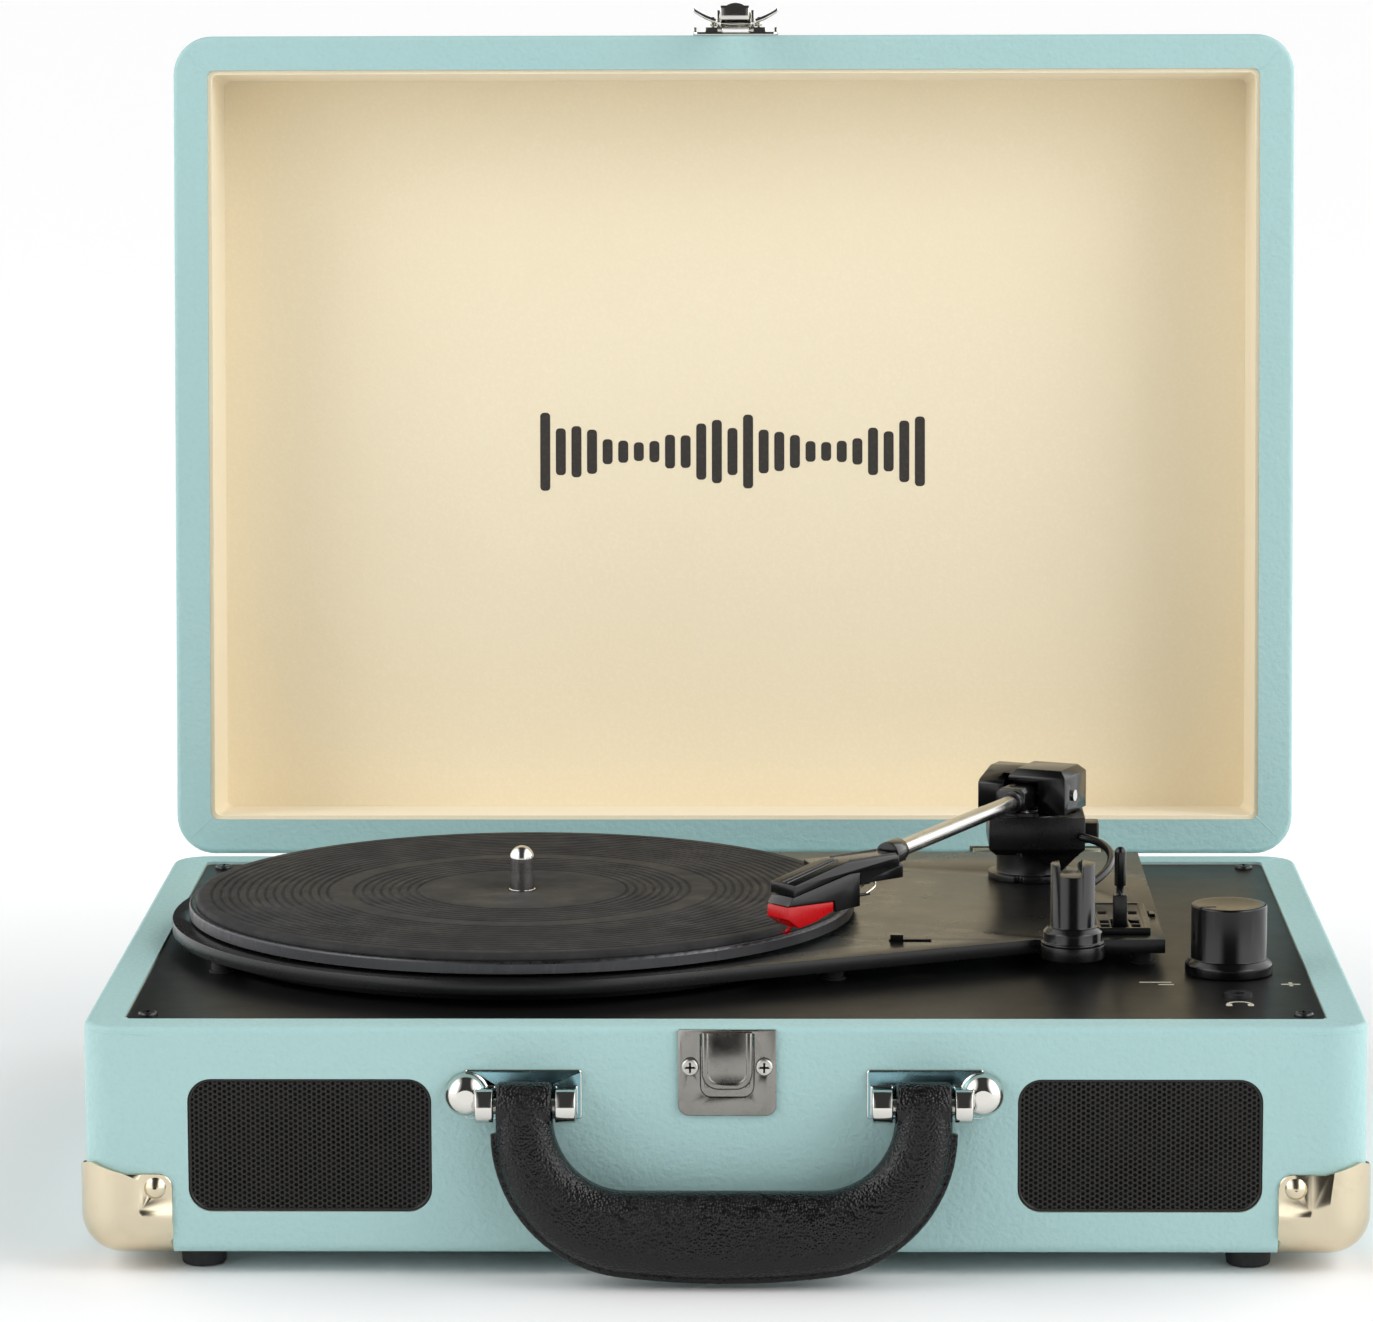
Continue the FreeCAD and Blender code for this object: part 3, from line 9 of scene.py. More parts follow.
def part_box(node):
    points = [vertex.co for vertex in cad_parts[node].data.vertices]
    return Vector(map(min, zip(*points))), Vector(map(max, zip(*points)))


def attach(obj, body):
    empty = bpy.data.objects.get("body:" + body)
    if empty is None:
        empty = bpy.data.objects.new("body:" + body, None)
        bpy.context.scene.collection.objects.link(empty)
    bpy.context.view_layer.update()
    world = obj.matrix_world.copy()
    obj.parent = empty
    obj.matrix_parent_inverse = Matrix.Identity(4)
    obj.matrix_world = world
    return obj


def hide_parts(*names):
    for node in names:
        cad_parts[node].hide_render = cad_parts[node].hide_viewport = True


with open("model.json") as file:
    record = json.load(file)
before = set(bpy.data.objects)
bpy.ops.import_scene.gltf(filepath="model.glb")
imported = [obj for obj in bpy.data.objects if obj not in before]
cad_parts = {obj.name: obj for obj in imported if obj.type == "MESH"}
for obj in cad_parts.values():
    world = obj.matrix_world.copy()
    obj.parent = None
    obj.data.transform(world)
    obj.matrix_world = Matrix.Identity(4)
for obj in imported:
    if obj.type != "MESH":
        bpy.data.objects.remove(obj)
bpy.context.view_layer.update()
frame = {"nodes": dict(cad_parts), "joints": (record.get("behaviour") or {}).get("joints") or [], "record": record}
NODES = frame["nodes"]
MM = 0.001

# ------------------------------------------------------------------ camera
# The design's case centre lies this far in front of the frame's origin.
CASE_BACK = 28.4 * MM
CAMERA_AT = Vector((0.0190, -1.6976 - CASE_BACK, 0.4063))
CAMERA_YAW = -0.0184
CAMERA_PITCH = 0.1497
CAMERA_ROLL = -0.0033
LENS_MM = 155.04
SENSOR_MM = 36.0
CLIP_NEAR, CLIP_FAR = 0.05, 50.0


def add_camera():
    camera = bpy.data.objects.new("camera", bpy.data.cameras.new("camera"))
    camera.data.lens = LENS_MM
    camera.data.sensor_width = SENSOR_MM
    camera.data.clip_start = CLIP_NEAR
    camera.data.clip_end = CLIP_FAR
    flat = math.cos(CAMERA_PITCH)
    forward = Vector((math.sin(CAMERA_YAW) * flat, math.cos(CAMERA_YAW) * flat, -math.sin(CAMERA_PITCH)))
    level = Vector((math.cos(CAMERA_YAW), -math.sin(CAMERA_YAW), 0.0))
    upward = level.cross(forward)
    right = level * math.cos(CAMERA_ROLL) + upward * math.sin(CAMERA_ROLL)
    upward = right.cross(forward)
    turn = Matrix((right, upward, -forward)).transposed()
    camera.matrix_world = Matrix.Translation(CAMERA_AT) @ turn.to_4x4()
    bpy.context.scene.collection.objects.link(camera)
    bpy.context.scene.camera = camera


add_camera()


# ------------------------------------------------------------------ shader helpers

def linear(red, green, blue):
    """An RGBA colour for a shader from 0-255 screen values, by the standard screen curve."""
    values = [value / 255.0 for value in (red, green, blue)]
    curved = [value / 12.92 if value <= 0.04045 else ((value + 0.055) / 1.055) ** 2.4 for value in values]
    return tuple(curved) + (1.0,)


class Shader:
    """A Principled material and the few node patterns that the finishes below share."""

    def __init__(self, name, color, roughness, metallic=0.0, **sockets):
        self.material = bpy.data.materials.new(name)
        self.material.use_nodes = True
        self.tree = self.material.node_tree
        self.bsdf = self.tree.nodes["Principled BSDF"]
        self.bsdf.inputs["Base Color"].default_value = color
        self.bsdf.inputs["Roughness"].default_value = roughness
        self.bsdf.inputs["Metallic"].default_value = metallic
        for socket, value in sockets.items():
            self.bsdf.inputs[socket.replace("_", " ")].default_value = value
        self.place = self.node("ShaderNodeTexCoord").outputs["Object"]
        self.normal = None

    def node(self, kind, **settings):
        made = self.tree.nodes.new(kind)
        for key, value in settings.items():
            setattr(made, key, value)
        return made

    def link(self, source, target):
        self.tree.links.new(source, target)

    def stretched(self, scale):
        mapping = self.node("ShaderNodeMapping")
        mapping.inputs["Scale"].default_value = scale
        self.link(self.place, mapping.inputs["Vector"])
        return mapping.outputs["Vector"]

    def noise(self, scale, detail=3.0, roughness=0.55, stretch=None):
        made = self.node("ShaderNodeTexNoise")
        made.inputs["Scale"].default_value = scale
        made.inputs["Detail"].default_value = detail
        made.inputs["Roughness"].default_value = roughness
        self.link(self.stretched(stretch) if stretch else self.place, made.inputs["Vector"])
        return made.outputs["Fac"]

    def cells(self, scale, feature, smooth=None, stretch=None):
        made = self.node("ShaderNodeTexVoronoi", feature=feature)
        made.inputs["Scale"].default_value = scale
        if smooth is not None:
            made.inputs["Smoothness"].default_value = smooth
        self.link(self.stretched(stretch) if stretch else self.place, made.inputs["Vector"])
        return made.outputs["Distance"]

    def ramp(self, source, low, high, first=0.0, last=1.0):
        """Maps the source's range (low, high) to (first, last), clamped."""
        made = self.node("ShaderNodeMapRange")
        made.inputs["From Min"].default_value = low
        made.inputs["From Max"].default_value = high
        made.inputs["To Min"].default_value = first
        made.inputs["To Max"].default_value = last
        self.link(source, made.inputs["Value"])
        return made.outputs["Result"]

    def tint(self, share, other):
        """Mixes another colour over the base where share is near 1."""
        made = self.node("ShaderNodeMix", data_type="RGBA")
        self.link(share, made.inputs["Factor"])
        current = self.bsdf.inputs["Base Color"]
        if current.is_linked:
            self.link(current.links[0].from_socket, made.inputs["A"])
        else:
            made.inputs["A"].default_value = current.default_value
        made.inputs["B"].default_value = other
        self.link(made.outputs["Result"], current)

    def vary_roughness(self, source, low, high, first, last):
        self.link(self.ramp(source, low, high, first, last), self.bsdf.inputs["Roughness"])

    def bump(self, height, distance, strength):
        made = self.node("ShaderNodeBump")
        made.inputs["Strength"].default_value = strength
        made.inputs["Distance"].default_value = distance
        self.link(height, made.inputs["Height"])
        if self.normal is not None:
            self.link(self.normal, made.inputs["Normal"])
        self.normal = made.outputs["Normal"]
        self.link(self.normal, self.bsdf.inputs["Normal"])


# ------------------------------------------------------------------ finishes

def leatherette(name, color, shade, cell, depth, rough):
    """Embossed vinyl: soft uneven pebbles, finer grain between them, slow colour drift, and painted shade
    darkening the hollows between the pebbles.
    """
    look = Shader(name, color, rough, Specular_IOR_Level=0.35)
    pebbles = look.noise(cell, 1.5, 0.5)
    wrinkles = look.noise(cell * 0.3, 4.0, 0.6, (1.0, 1.0, 1.7))
    grain = look.cells(cell * 1.9, "SMOOTH_F1", 0.7)
    look.tint(look.ramp(look.noise(7.0, 4.0), 0.35, 0.7, 0.0, 0.3), shade)
    # Painted shade: the pebbles' hollows take the darker shade colour, as if shaded.
    look.tint(look.ramp(pebbles, 0.32, 0.5, 0.16, 0.0), shade)
    look.vary_roughness(pebbles, 0.3, 0.7, rough + 0.1, rough - 0.06)
    look.bump(wrinkles, depth * 3.0, 0.35)
    look.bump(look.ramp(pebbles, 0.3, 0.7), depth, 0.6)
    look.bump(grain, depth * 0.35, 0.4)
    return look.material


def pebbled_leather(name, color, rough):
    """The handle's black moulded skin: raised beads with bright tips, worn smooth in places."""
    look = Shader(name, color, rough, Specular_IOR_Level=0.34)
    beads = look.cells(1250.0, "SMOOTH_F1", 0.25)
    patches = look.noise(70.0, 3.0)
    look.tint(look.ramp(look.noise(300.0, 3.0), 0.5, 0.8, 0.0, 0.2), linear(40, 38, 36))
    look.vary_roughness(patches, 0.35, 0.65, rough - 0.08, rough + 0.14)
    look.bump(look.noise(420.0, 3.0, 0.65), 0.0002, 0.25)
    look.bump(look.ramp(beads, 0.0, 0.75, 1.0, 0.0), 0.00036, 0.6)
    return look.material


def lining(name):
    """Cream paper-backed flock: short soft fibres over a faint weave."""
    look = Shader(name, linear(238, 226, 198), 0.82, Specular_IOR_Level=0.25, Sheen_Weight=0.25)
    look.tint(look.ramp(look.noise(5.0, 4.0), 0.35, 0.7, 0.0, 0.3), linear(230, 214, 180))
    look.tint(look.ramp(look.noise(900.0, 2.0), 0.45, 0.75, 0.0, 0.25), linear(247, 238, 216))
    look.vary_roughness(look.noise(40.0), 0.3, 0.7, 0.74, 0.9)
    look.bump(look.noise(1500.0, 2.0), 0.00006, 0.6)
    look.bump(look.cells(420.0, "SMOOTH_F1", 0.6), 0.00008, 0.35)
    return look.material


def moulded(name, color, rough, grain=1400.0, depth=0.00004, dust=0.06, gloss=0.5):
    """Moulded plastic: spark-eroded grain, faint scuffs and a trace of dust."""
    look = Shader(name, color, rough, Specular_IOR_Level=gloss)
    look.tint(look.ramp(look.noise(grain * 0.5, 2.0), 0.5, 0.8, 0.0, dust), linear(120, 112, 100))
    scuffs = look.noise(45.0, 6.0, 0.7)
    look.vary_roughness(scuffs, 0.3, 0.75, max(rough - 0.03, 0.03), min(rough + 0.05, 1.0))
    look.bump(look.noise(grain, 2.0, 0.6), depth, 0.5)
    return look.material


def rubber(name, color=(0.018, 0.018, 0.019, 1.0)):
    look = Shader(name, color, 0.7, Specular_IOR_Level=0.35)
    look.tint(look.ramp(look.noise(350.0, 3.0), 0.5, 0.8, 0.0, 0.12), linear(92, 90, 86))
    look.vary_roughness(look.noise(90.0), 0.3, 0.7, 0.6, 0.85)
    look.bump(look.noise(1800.0, 2.0), 0.00005, 0.5)
    return look.material


def metal(name, color, rough, brush=None, tarnish=None):
    """Plated or brushed metal; brush is the stretch of the fine lines, tarnish a darker film."""
    look = Shader(name, color, rough, 1.0)
    if brush:
        lines = look.noise(900.0, 4.0, 0.6, brush)
        look.vary_roughness(lines, 0.3, 0.7, rough * 0.75, rough * 1.5)
        look.bump(lines, 0.00002, 0.35)
    else:
        look.vary_roughness(look.noise(120.0, 5.0), 0.35, 0.7, rough * 0.8, rough * 1.7 + 0.02)
        look.bump(look.noise(26.0, 3.0), 0.0002, 0.08)
    if tarnish:
        look.tint(look.ramp(look.noise(170.0, 6.0, 0.65), 0.52, 0.78, 0.0, 0.5), tarnish)
    return look.material


def wood(name):
    look = Shader(name, linear(178, 150, 112), 0.7)
    streaks = look.noise(30.0, 6.0, 0.7, (1.0, 9.0, 1.0))
    look.tint(look.ramp(streaks, 0.4, 0.7, 0.0, 0.6), linear(134, 104, 70))
    look.bump(look.noise(600.0, 3.0, 0.6, (1.0, 8.0, 1.0)), 0.0001, 0.5)
    return look.material


def board(name):
    look = Shader(name, linear(24, 92, 48), 0.35)
    tracks = look.cells(160.0, "DISTANCE_TO_EDGE", stretch=(1.0, 1.0, 0.01))
    look.tint(look.ramp(tracks, 0.02, 0.05, 0.5, 0.0), linear(60, 140, 84))
    look.bump(look.noise(300.0), 0.00005, 0.4)
    return look.material


BLACK = (0.012, 0.012, 0.013, 1.0)
FINISHES = {
    "panel_wood": wood("panel_wood"),
    # The second colour is the darker tone for the random colour drift and for the painted shade in the pebbles'
    # hollows.
    "leatherette": leatherette("leatherette", linear(162, 196, 195), linear(148, 184, 184),
                               620.0, 0.00019, 0.5),
    "foot_rubber": rubber("foot_rubber"),
    "corner_metal": metal("corner_metal", linear(214, 202, 176), 0.13, tarnish=linear(192, 178, 150)),
    "grille_cloth": moulded("grille_cloth", linear(34, 32, 30), 0.3, 900.0, 0.00002, 0.02, 0.35),
    "plated_steel": metal("plated_steel", linear(196, 194, 188), 0.28, tarnish=linear(150, 146, 138)),
    "speaker_cone": rubber("speaker_cone"),
    "magnet_ferrite": moulded("magnet_ferrite", linear(52, 52, 56), 0.6),
    "brushed_plate": metal("brushed_plate", linear(138, 136, 131), 0.2, tarnish=linear(104, 101, 96)),
    "dark_chrome": metal("dark_chrome", linear(214, 212, 206), 0.06),
    "deck_board": moulded("deck_board", linear(13, 13, 13), 0.36, 1900.0, 0.00001, 0.03, 0.24),
    "black_screws": moulded("black_screws", BLACK, 0.24, 700.0, 0.00001, 0.02),
    "plate_plastic": moulded("plate_plastic", linear(15, 15, 15), 0.28, 1500.0, 0.000006, 0.02, 0.4),
    "polished_steel": metal("polished_steel", linear(214, 212, 208), 0.12, (1.0, 1.0, 6.0)),
    "motor_can": metal("motor_can", linear(170, 168, 160), 0.3, (1.0, 1.0, 0.05)),
    "belt_rubber": rubber("belt_rubber"),
    "black_gloss": moulded("black_gloss", linear(11, 11, 12), 0.17, 900.0, 0.000006, 0.01, 0.45),
    "jack_plastic": moulded("jack_plastic", BLACK, 0.4),
    "circuit_board": board("circuit_board"),
    "socket_metal": metal("socket_metal", linear(210, 204, 190), 0.16),
    "hinge_metal": metal("hinge_metal", linear(200, 192, 174), 0.26, (0.05, 1.0, 1.0),
                         linear(168, 158, 140)),
    "lid_lining": lining("lid_lining"),
    "handle_skin": pebbled_leather("handle_skin", linear(8, 8, 8), 0.24),
    "platter_metal": metal("platter_metal", linear(74, 74, 76), 0.32, (1.0, 1.0, 0.1)),
    "mat_rubber": rubber("mat_rubber", (0.014, 0.014, 0.015, 1.0)),
    "pulley_brass": metal("pulley_brass", linear(206, 170, 98), 0.22, (1.0, 1.0, 8.0)),
    "arm_chrome": metal("arm_chrome", linear(200, 198, 194), 0.16),
    "weight_steel": metal("weight_steel", linear(92, 90, 88), 0.4),
    "cartridge_plastic": moulded("cartridge_plastic", linear(11, 11, 12), 0.22, 900.0, 0.000006, 0.01, 0.45),
    "stylus_red": moulded("stylus_red", linear(182, 8, 14), 0.26, 700.0, 0.000006, 0.0, 0.35),
    "lever_plastic": moulded("lever_plastic", linear(10, 10, 11), 0.2, 900.0, 0.000006, 0.01, 0.4),
    "bracket_face": metal("bracket_face", linear(122, 160, 168), 0.2, tarnish=linear(92, 124, 132)),
    # Near-black stand-in for shade: painted shade deep behind the grille's holes and in the screws' cross
    # recesses.
    "painted_depth_shade": rubber("painted_depth_shade", (0.002, 0.002, 0.002, 1.0)),
    "lid_print": moulded("lid_print", linear(44, 40, 36), 0.5, 1600.0, 0.00001, 0.12),
    "deck_print": moulded("deck_print", linear(196, 190, 172), 0.5, 1600.0, 0.00001, 0.12),
    "knob_gloss": moulded("knob_gloss", linear(8, 8, 9), 0.18, 700.0, 0.000006, 0.01, 0.38),
}


def dress_nodes():
    """Gives every CAD node its slot's finish."""
    for part in frame["record"]["subparts"]:
        mesh = NODES[part["node"]].data
        mesh.materials.clear()
        mesh.materials.append(FINISHES[part["material_slot"]])


dress_nodes()


# ------------------------------------------------------------------ pieces

BODY_OF = {node: body for body, nodes in frame["record"]["behaviour"]["bodies"].items() for node in nodes}
SLOT_OF = {part["node"]: part["material_slot"] for part in frame["record"]["subparts"]}


def new_piece(name, mesh, body, slot, *replaced, finish=None):
    """A finished piece: its own mesh with its slot's finish, riding on a CAD body."""
    mesh.materials.clear()
    mesh.materials.append(FINISHES[finish or slot])
    piece = bpy.data.objects.new(name, mesh)
    bpy.context.scene.collection.objects.link(piece)
    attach(piece, body)
    if replaced:
        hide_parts(*replaced)
    return piece


SAME_POINT = 2e-6
STILL_FLAT = math.radians(0.8)
HARD_EDGE = math.radians(32.0)
SHADED_SHARP = math.radians(50.0)


def softened_mesh(node, width, segments):
    """The node's own shape with its flat faces whole again and every hard edge rounded."""
    mesh = NODES[node].data.copy()
    shape = bmesh.new()
    shape.from_mesh(mesh)
    bmesh.ops.remove_doubles(shape, verts=shape.verts, dist=SAME_POINT)
    bmesh.ops.dissolve_limit(shape, angle_limit=STILL_FLAT, verts=shape.verts, edges=shape.edges)
    shape.to_mesh(mesh)
    shape.free()
    holder = bpy.data.objects.new("holder", mesh)
    bpy.context.scene.collection.objects.link(holder)
    bevel = holder.modifiers.new("round", "BEVEL")
    bevel.width = width
    bevel.segments = segments
    bevel.limit_method = "ANGLE"
    bevel.angle_limit = HARD_EDGE
    bevel.use_clamp_overlap = False
    bpy.context.view_layer.update()
    done = bpy.data.meshes.new_from_object(holder.evaluated_get(bpy.context.evaluated_depsgraph_get()))
    bpy.data.objects.remove(holder)
    done.shade_smooth()
    done.set_sharp_from_angle(angle=SHADED_SHARP)
    return done


def soften(node, width):
    mesh = softened_mesh(node, width, 2)
    return new_piece(node + "_finished", mesh, BODY_OF[node], SLOT_OF[node], node)


# How far each node's edges are rounded, in metres.
SOFT_EDGES = {
    0.00022: ["tonearm_head", "tonearm_housing", "arm_boss", "counterweight", "cue_bezel", "cartridge",
              "stylus", "cue_lever", "volume_knob", "tonearm_rest", "cue_link", "headshell",
              "mechanism_plate"],
    0.00018: ["strike_plate", "latch_base_plate", "latch_lever", "latch_claw", "hinge_leaves_base",
              "hinge_leaves_lid", "rear_jack_plate"],
    0.0004: ["handle_bracket_left", "handle_bracket_right"],
}


def soften_nodes():
    return {node: soften(node, width) for width, nodes in SOFT_EDGES.items() for node in nodes}


# The design's own layout has the case's middle at Y 0 and the lid shut.
def design(x, y, z):
    return Vector((x * MM, y * MM - CASE_BACK, z * MM))


LID_JOINT = next(joint for joint in frame["joints"] if joint["name"] == "lid_hinge")
LID_OPEN_ANGLE = math.radians(-96.0)
LID_OPEN = Matrix.Rotation(LID_OPEN_ANGLE, 3, "X")
LID_PANEL_UP = 44.0


def on_lid(x, along, proud):
    """A point on the lid's inner panel: across, away from the hinge, and out from its surface."""
    return Vector(LID_JOINT["pos_m"]) + LID_OPEN @ (Vector((x, -along, LID_PANEL_UP - proud)) * MM)


MERGED_POINT = 1e-6
SMOOTH_BELOW = math.radians(42.0)


def mesh_of(name, points, faces, smooth=False):
    mesh = bpy.data.meshes.new(name)
    mesh.from_pydata([tuple(point) for point in points], [], faces)
    shape = bmesh.new()
    shape.from_mesh(mesh)
    bmesh.ops.remove_doubles(shape, verts=shape.verts, dist=MERGED_POINT)
    bmesh.ops.recalc_face_normals(shape, faces=shape.faces)
    shape.to_mesh(mesh)
    shape.free()
    if smooth:
        mesh.shade_smooth()
        mesh.set_sharp_from_angle(angle=SMOOTH_BELOW)
    return mesh


class Build:
    """Collects points and faces for one mesh."""

    def __init__(self):
        self.points, self.faces = [], []

    def ring(self, points):
        first = len(self.points)
        self.points.extend(points)
        return list(range(first, len(self.points)))

    def bridge(self, low, high):
        count = len(low)
        for here in range(count):
            beyond = (here + 1) % count
            self.faces.append((low[here], low[beyond], high[beyond], high[here]))

    def cap(self, ring):
        self.faces.append(tuple(ring))

    def plate(self, outline, place, low, high):
        """A flat-topped plate from an outline of (a, b) points; place(a, b, height) puts it."""
        bottom = self.ring([place(a, b, low) for a, b in outline])
        top = self.ring([place(a, b, high) for a, b in outline])
        self.bridge(bottom, top)
        self.cap(bottom)
        self.cap(top)


def rounded_outline(width, height, radius, steps, centre=(0.0, 0.0)):
    points = []
    for quarter, (sx, sy) in enumerate(((1, 1), (-1, 1), (-1, -1), (1, -1))):
        for step in range(steps + 1):
            angle = math.pi / 2 * (quarter + step / steps)
            points.append((centre[0] + sx * (width / 2 - radius) + radius * math.cos(angle),
                           centre[1] + sy * (height / 2 - radius) + radius * math.sin(angle)))
    return points


# ---- perforated grilles

PERFORATION = 1.485
GRILLE_EDGE = 6.4
CELL_MARGIN, EDGE_MARGIN = 0.4, 0.2
CELL_MAY_MOVE = 0.05
SHEET_DEPTH = 0.15
# One cell, from its edge down into its hole, as (share of its size, depth).
CELL_RINGS = ((1.0, 0.0), (0.78, 0.0), (0.66, 0.12), (0.66, 0.5))
# The rolled rim, from its outside to its inside, as (inset, depth).
GRILLE_RIM = ((0.0, 0.6), (0.0, 0.18), (0.16, 0.0), (0.55, 0.0), (0.75, 0.2), (0.75, 0.6))
CLOTH_INSET, CLOTH_FRONT, CLOTH_BACK = 0.4, 0.8, 1.2
RIM_STEPS = 8


def into_outline(a, b, half_a, half_b):
    """The nearest place inside the grille's round-cornered outline."""
    a, b = max(-half_a, min(half_a, a)), max(-half_b, min(half_b, b))
    over_a, over_b = abs(a) - (half_a - GRILLE_EDGE), abs(b) - (half_b - GRILLE_EDGE)
    reach = math.hypot(over_a, over_b)
    if over_a > 0 and over_b > 0 and reach > GRILLE_EDGE:
        a = math.copysign(half_a - GRILLE_EDGE + over_a * GRILLE_EDGE / reach, a)
        b = math.copysign(half_b - GRILLE_EDGE + over_b * GRILLE_EDGE / reach, b)
    return a, b


def perforated_grille(node):
    """A sheet of six-sided cells, each with a bevelled hole, and a rolled rim round it."""
    low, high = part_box(node)
    centre, half_a, half_b = (low + high) / 2, (high.x - low.x) / 2 / MM, (high.z - low.z) / 2 / MM
    front = low.y / MM
    build = Build()

    def place(a, b, depth):
        return Vector((centre.x + a * MM, (front + depth) * MM, centre.z + b * MM))

    # Columns of six-sided cells stand one and a half times the cell's reach apart.
    reach = PERFORATION / math.sqrt(3)
    columns, rows = int(half_a / (1.5 * reach)) + 1, int(half_b / PERFORATION) + 1
    for column in range(-columns, columns + 1):
        for row in range(-rows, rows + 1):
            at_a = column * 1.5 * reach
            at_b = (row + 0.5 * (column % 2)) * PERFORATION
            inside = into_outline(at_a, at_b, half_a - CELL_MARGIN, half_b - CELL_MARGIN)
            if math.dist(inside, (at_a, at_b)) > CELL_MAY_MOVE:
                continue
            rings = []
            for size, depth in CELL_RINGS:
                corners = []
                for corner in range(6):
                    turn = corner * math.pi / 3
                    a, b = into_outline(at_a + reach * size * math.cos(turn),
                                        at_b + reach * size * math.sin(turn),
                                        half_a - EDGE_MARGIN, half_b - EDGE_MARGIN)
                    corners.append(place(a, b, depth + SHEET_DEPTH))
                rings.append(build.ring(corners))
            for first, second in zip(rings, rings[1:]):
                build.bridge(first, second)
    loops = []
    for inset, depth in GRILLE_RIM:
        outline = rounded_outline(2 * (half_a - inset), 2 * (half_b - inset),
                                  GRILLE_EDGE - inset, RIM_STEPS)
        loops.append(build.ring([place(a, b, depth) for a, b in outline]))
    for first, second in zip(loops, loops[1:] + loops[:1]):
        build.bridge(first, second)
    mesh = mesh_of(node + "_mesh", build.points, build.faces, True)
    new_piece(node + "_mesh", mesh, "case", SLOT_OF[node], node)
    # The backing stands for the speaker behind the grille; its near-black finish is painted shade of the depth
    # behind the holes.
    cloth = Build()
    outline = rounded_outline(2 * half_a - CLOTH_INSET, 2 * half_b - CLOTH_INSET,
                              GRILLE_EDGE, RIM_STEPS)
    cloth.plate(outline, place, CLOTH_FRONT, CLOTH_BACK)
    new_piece(node + "_backing", mesh_of(node + "_backing", cloth.points, cloth.faces), "case",
              "speaker_cone", finish="painted_depth_shade")


# ---- printed marks

def add_lid_ornament():
    """A generic row of level bars, printed in the middle of the lid."""
    build = Build()
    bars, pitch, width, corner = 25, 5.0, 3.2, 1.2
    centre_x, middle, tallest, thick = -0.7, 126.0, 25.0, 0.06
    swell_turn, shortest, swelling = 0.52, 0.24, 0.76
    flutter_turn, steady, flutter = 2.4, 0.72, 0.28
    for bar in range(bars):
        swell = 0.5 + 0.5 * math.cos((bar - (bars - 1) / 2) * swell_turn)
        height = tallest * (shortest + swelling * swell * (steady + flutter * math.cos(bar * flutter_turn)))
        across = centre_x + (bar - (bars - 1) / 2) * pitch
        outline = rounded_outline(width, height, corner, 4, (across, middle))
        build.plate(outline, on_lid, 0.0, thick)
    new_piece("lid_ornament", mesh_of("lid_ornament", build.points, build.faces), "lid", "lid_lining",
              finish="lid_print")


MARK_THICK = 0.05
# Plain bars as (x, y, width, depth): two for less, then two that cross for more.
VOLUME_MARKS = ((120.6, -63.6, 9.0, 0.9), (123.4, -66.8, 4.4, 0.9),
                (158.4, -66.4, 5.4, 1.0), (158.4, -66.4, 1.0, 5.4))
HEADPHONES_AT = (142.1, -93.6)
BAND_OUTER, BAND_INNER, BAND_STEP = 3.7, 2.9, 12
EARCUP_OUT, EARCUP_DOWN, EARCUP_SIZE = 3.0, 0.9, (1.7, 2.8)
MARK_ROUNDING = 0.3


def add_deck_marks():
    """Plain marks by the volume knob, less on the left and more on the right, and headphones."""
    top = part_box("deck_panel")[1].z / MM
    build = Build()

    def place(a, b, height):
        return design(a, b, top + height)

    def bar(x, y, width, depth):
        build.plate(rounded_outline(width, depth, min(width, depth) * MARK_ROUNDING, 3, (x, y)), place,
                    0.0, MARK_THICK)

    for mark in VOLUME_MARKS:
        bar(*mark)
    over, back = range(0, 181, BAND_STEP), range(180, -1, -BAND_STEP)
    band = [(HEADPHONES_AT[0] + radius * math.cos(angle), HEADPHONES_AT[1] + radius * math.sin(angle))
            for radius, angles in ((BAND_OUTER, over), (BAND_INNER, back))
            for angle in map(math.radians, angles)]
    build.plate(band, place, 0.0, MARK_THICK)
    for side in (-1, 1):
        bar(HEADPHONES_AT[0] + side * EARCUP_OUT, HEADPHONES_AT[1] - EARCUP_DOWN, *EARCUP_SIZE)
    new_piece("deck_marks", mesh_of("deck_marks", build.points, build.faces), "case", "deck_board",
              finish="deck_print")


# ---- platter mat

def add_platter_mat():
    """A rubber mat with fine rounded ribs between plain bands, turned about the spindle."""
    low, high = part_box("platter_mat")
    centre, outer = (low + high) / 2, (high.x - low.x) / 2 / MM
    bottom, top = low.z / MM, high.z / MM
    bore, bore_top, chamfer = 4.15, 4.5, 0.3
    first_rib, rib_pitch, groove = 30.0, 2.6, 0.55
    groove_from, groove_to, groove_end = 0.35, 1.05, 1.4
    edge_in, edge_turn, edge_drop, around = 1.6, 0.5, 0.9, 160
    band_from, band_to, plain_edge = 50.0, 54.0, 4.0
    profile = [(bore, bottom), (bore, top - chamfer), (bore_top, top)]
    radius = first_rib
    while radius < outer - plain_edge:
        if not band_from < radius < band_to:
            profile += [(radius, top), (radius + groove_from, top - groove),
                        (radius + groove_to, top - groove), (radius + groove_end, top)]
        radius += rib_pitch
    profile += [(outer - edge_in, top), (outer - edge_turn, top - chamfer), (outer, top - edge_drop),
                (outer, bottom)]
    build = Build()
    turns = [2 * math.pi * step / around for step in range(around)]
    loops = [build.ring([Vector((centre.x + r * MM * math.cos(turn), centre.y + r * MM * math.sin(turn),
                                 z * MM)) for turn in turns])
             for r, z in profile]
    for first, second in zip(loops, loops[1:] + loops[:1]):
        build.bridge(first, second)
    new_piece("platter_mat_ribbed", mesh_of("platter_mat_ribbed", build.points, build.faces, True),
              "platter", "mat_rubber", "platter_mat")


# ---- corner protectors

PROTECTOR_SOFT = 0.00012
PROTECTOR_SHARP = math.radians(38.0)
CUT_WITHIN = 1e-7


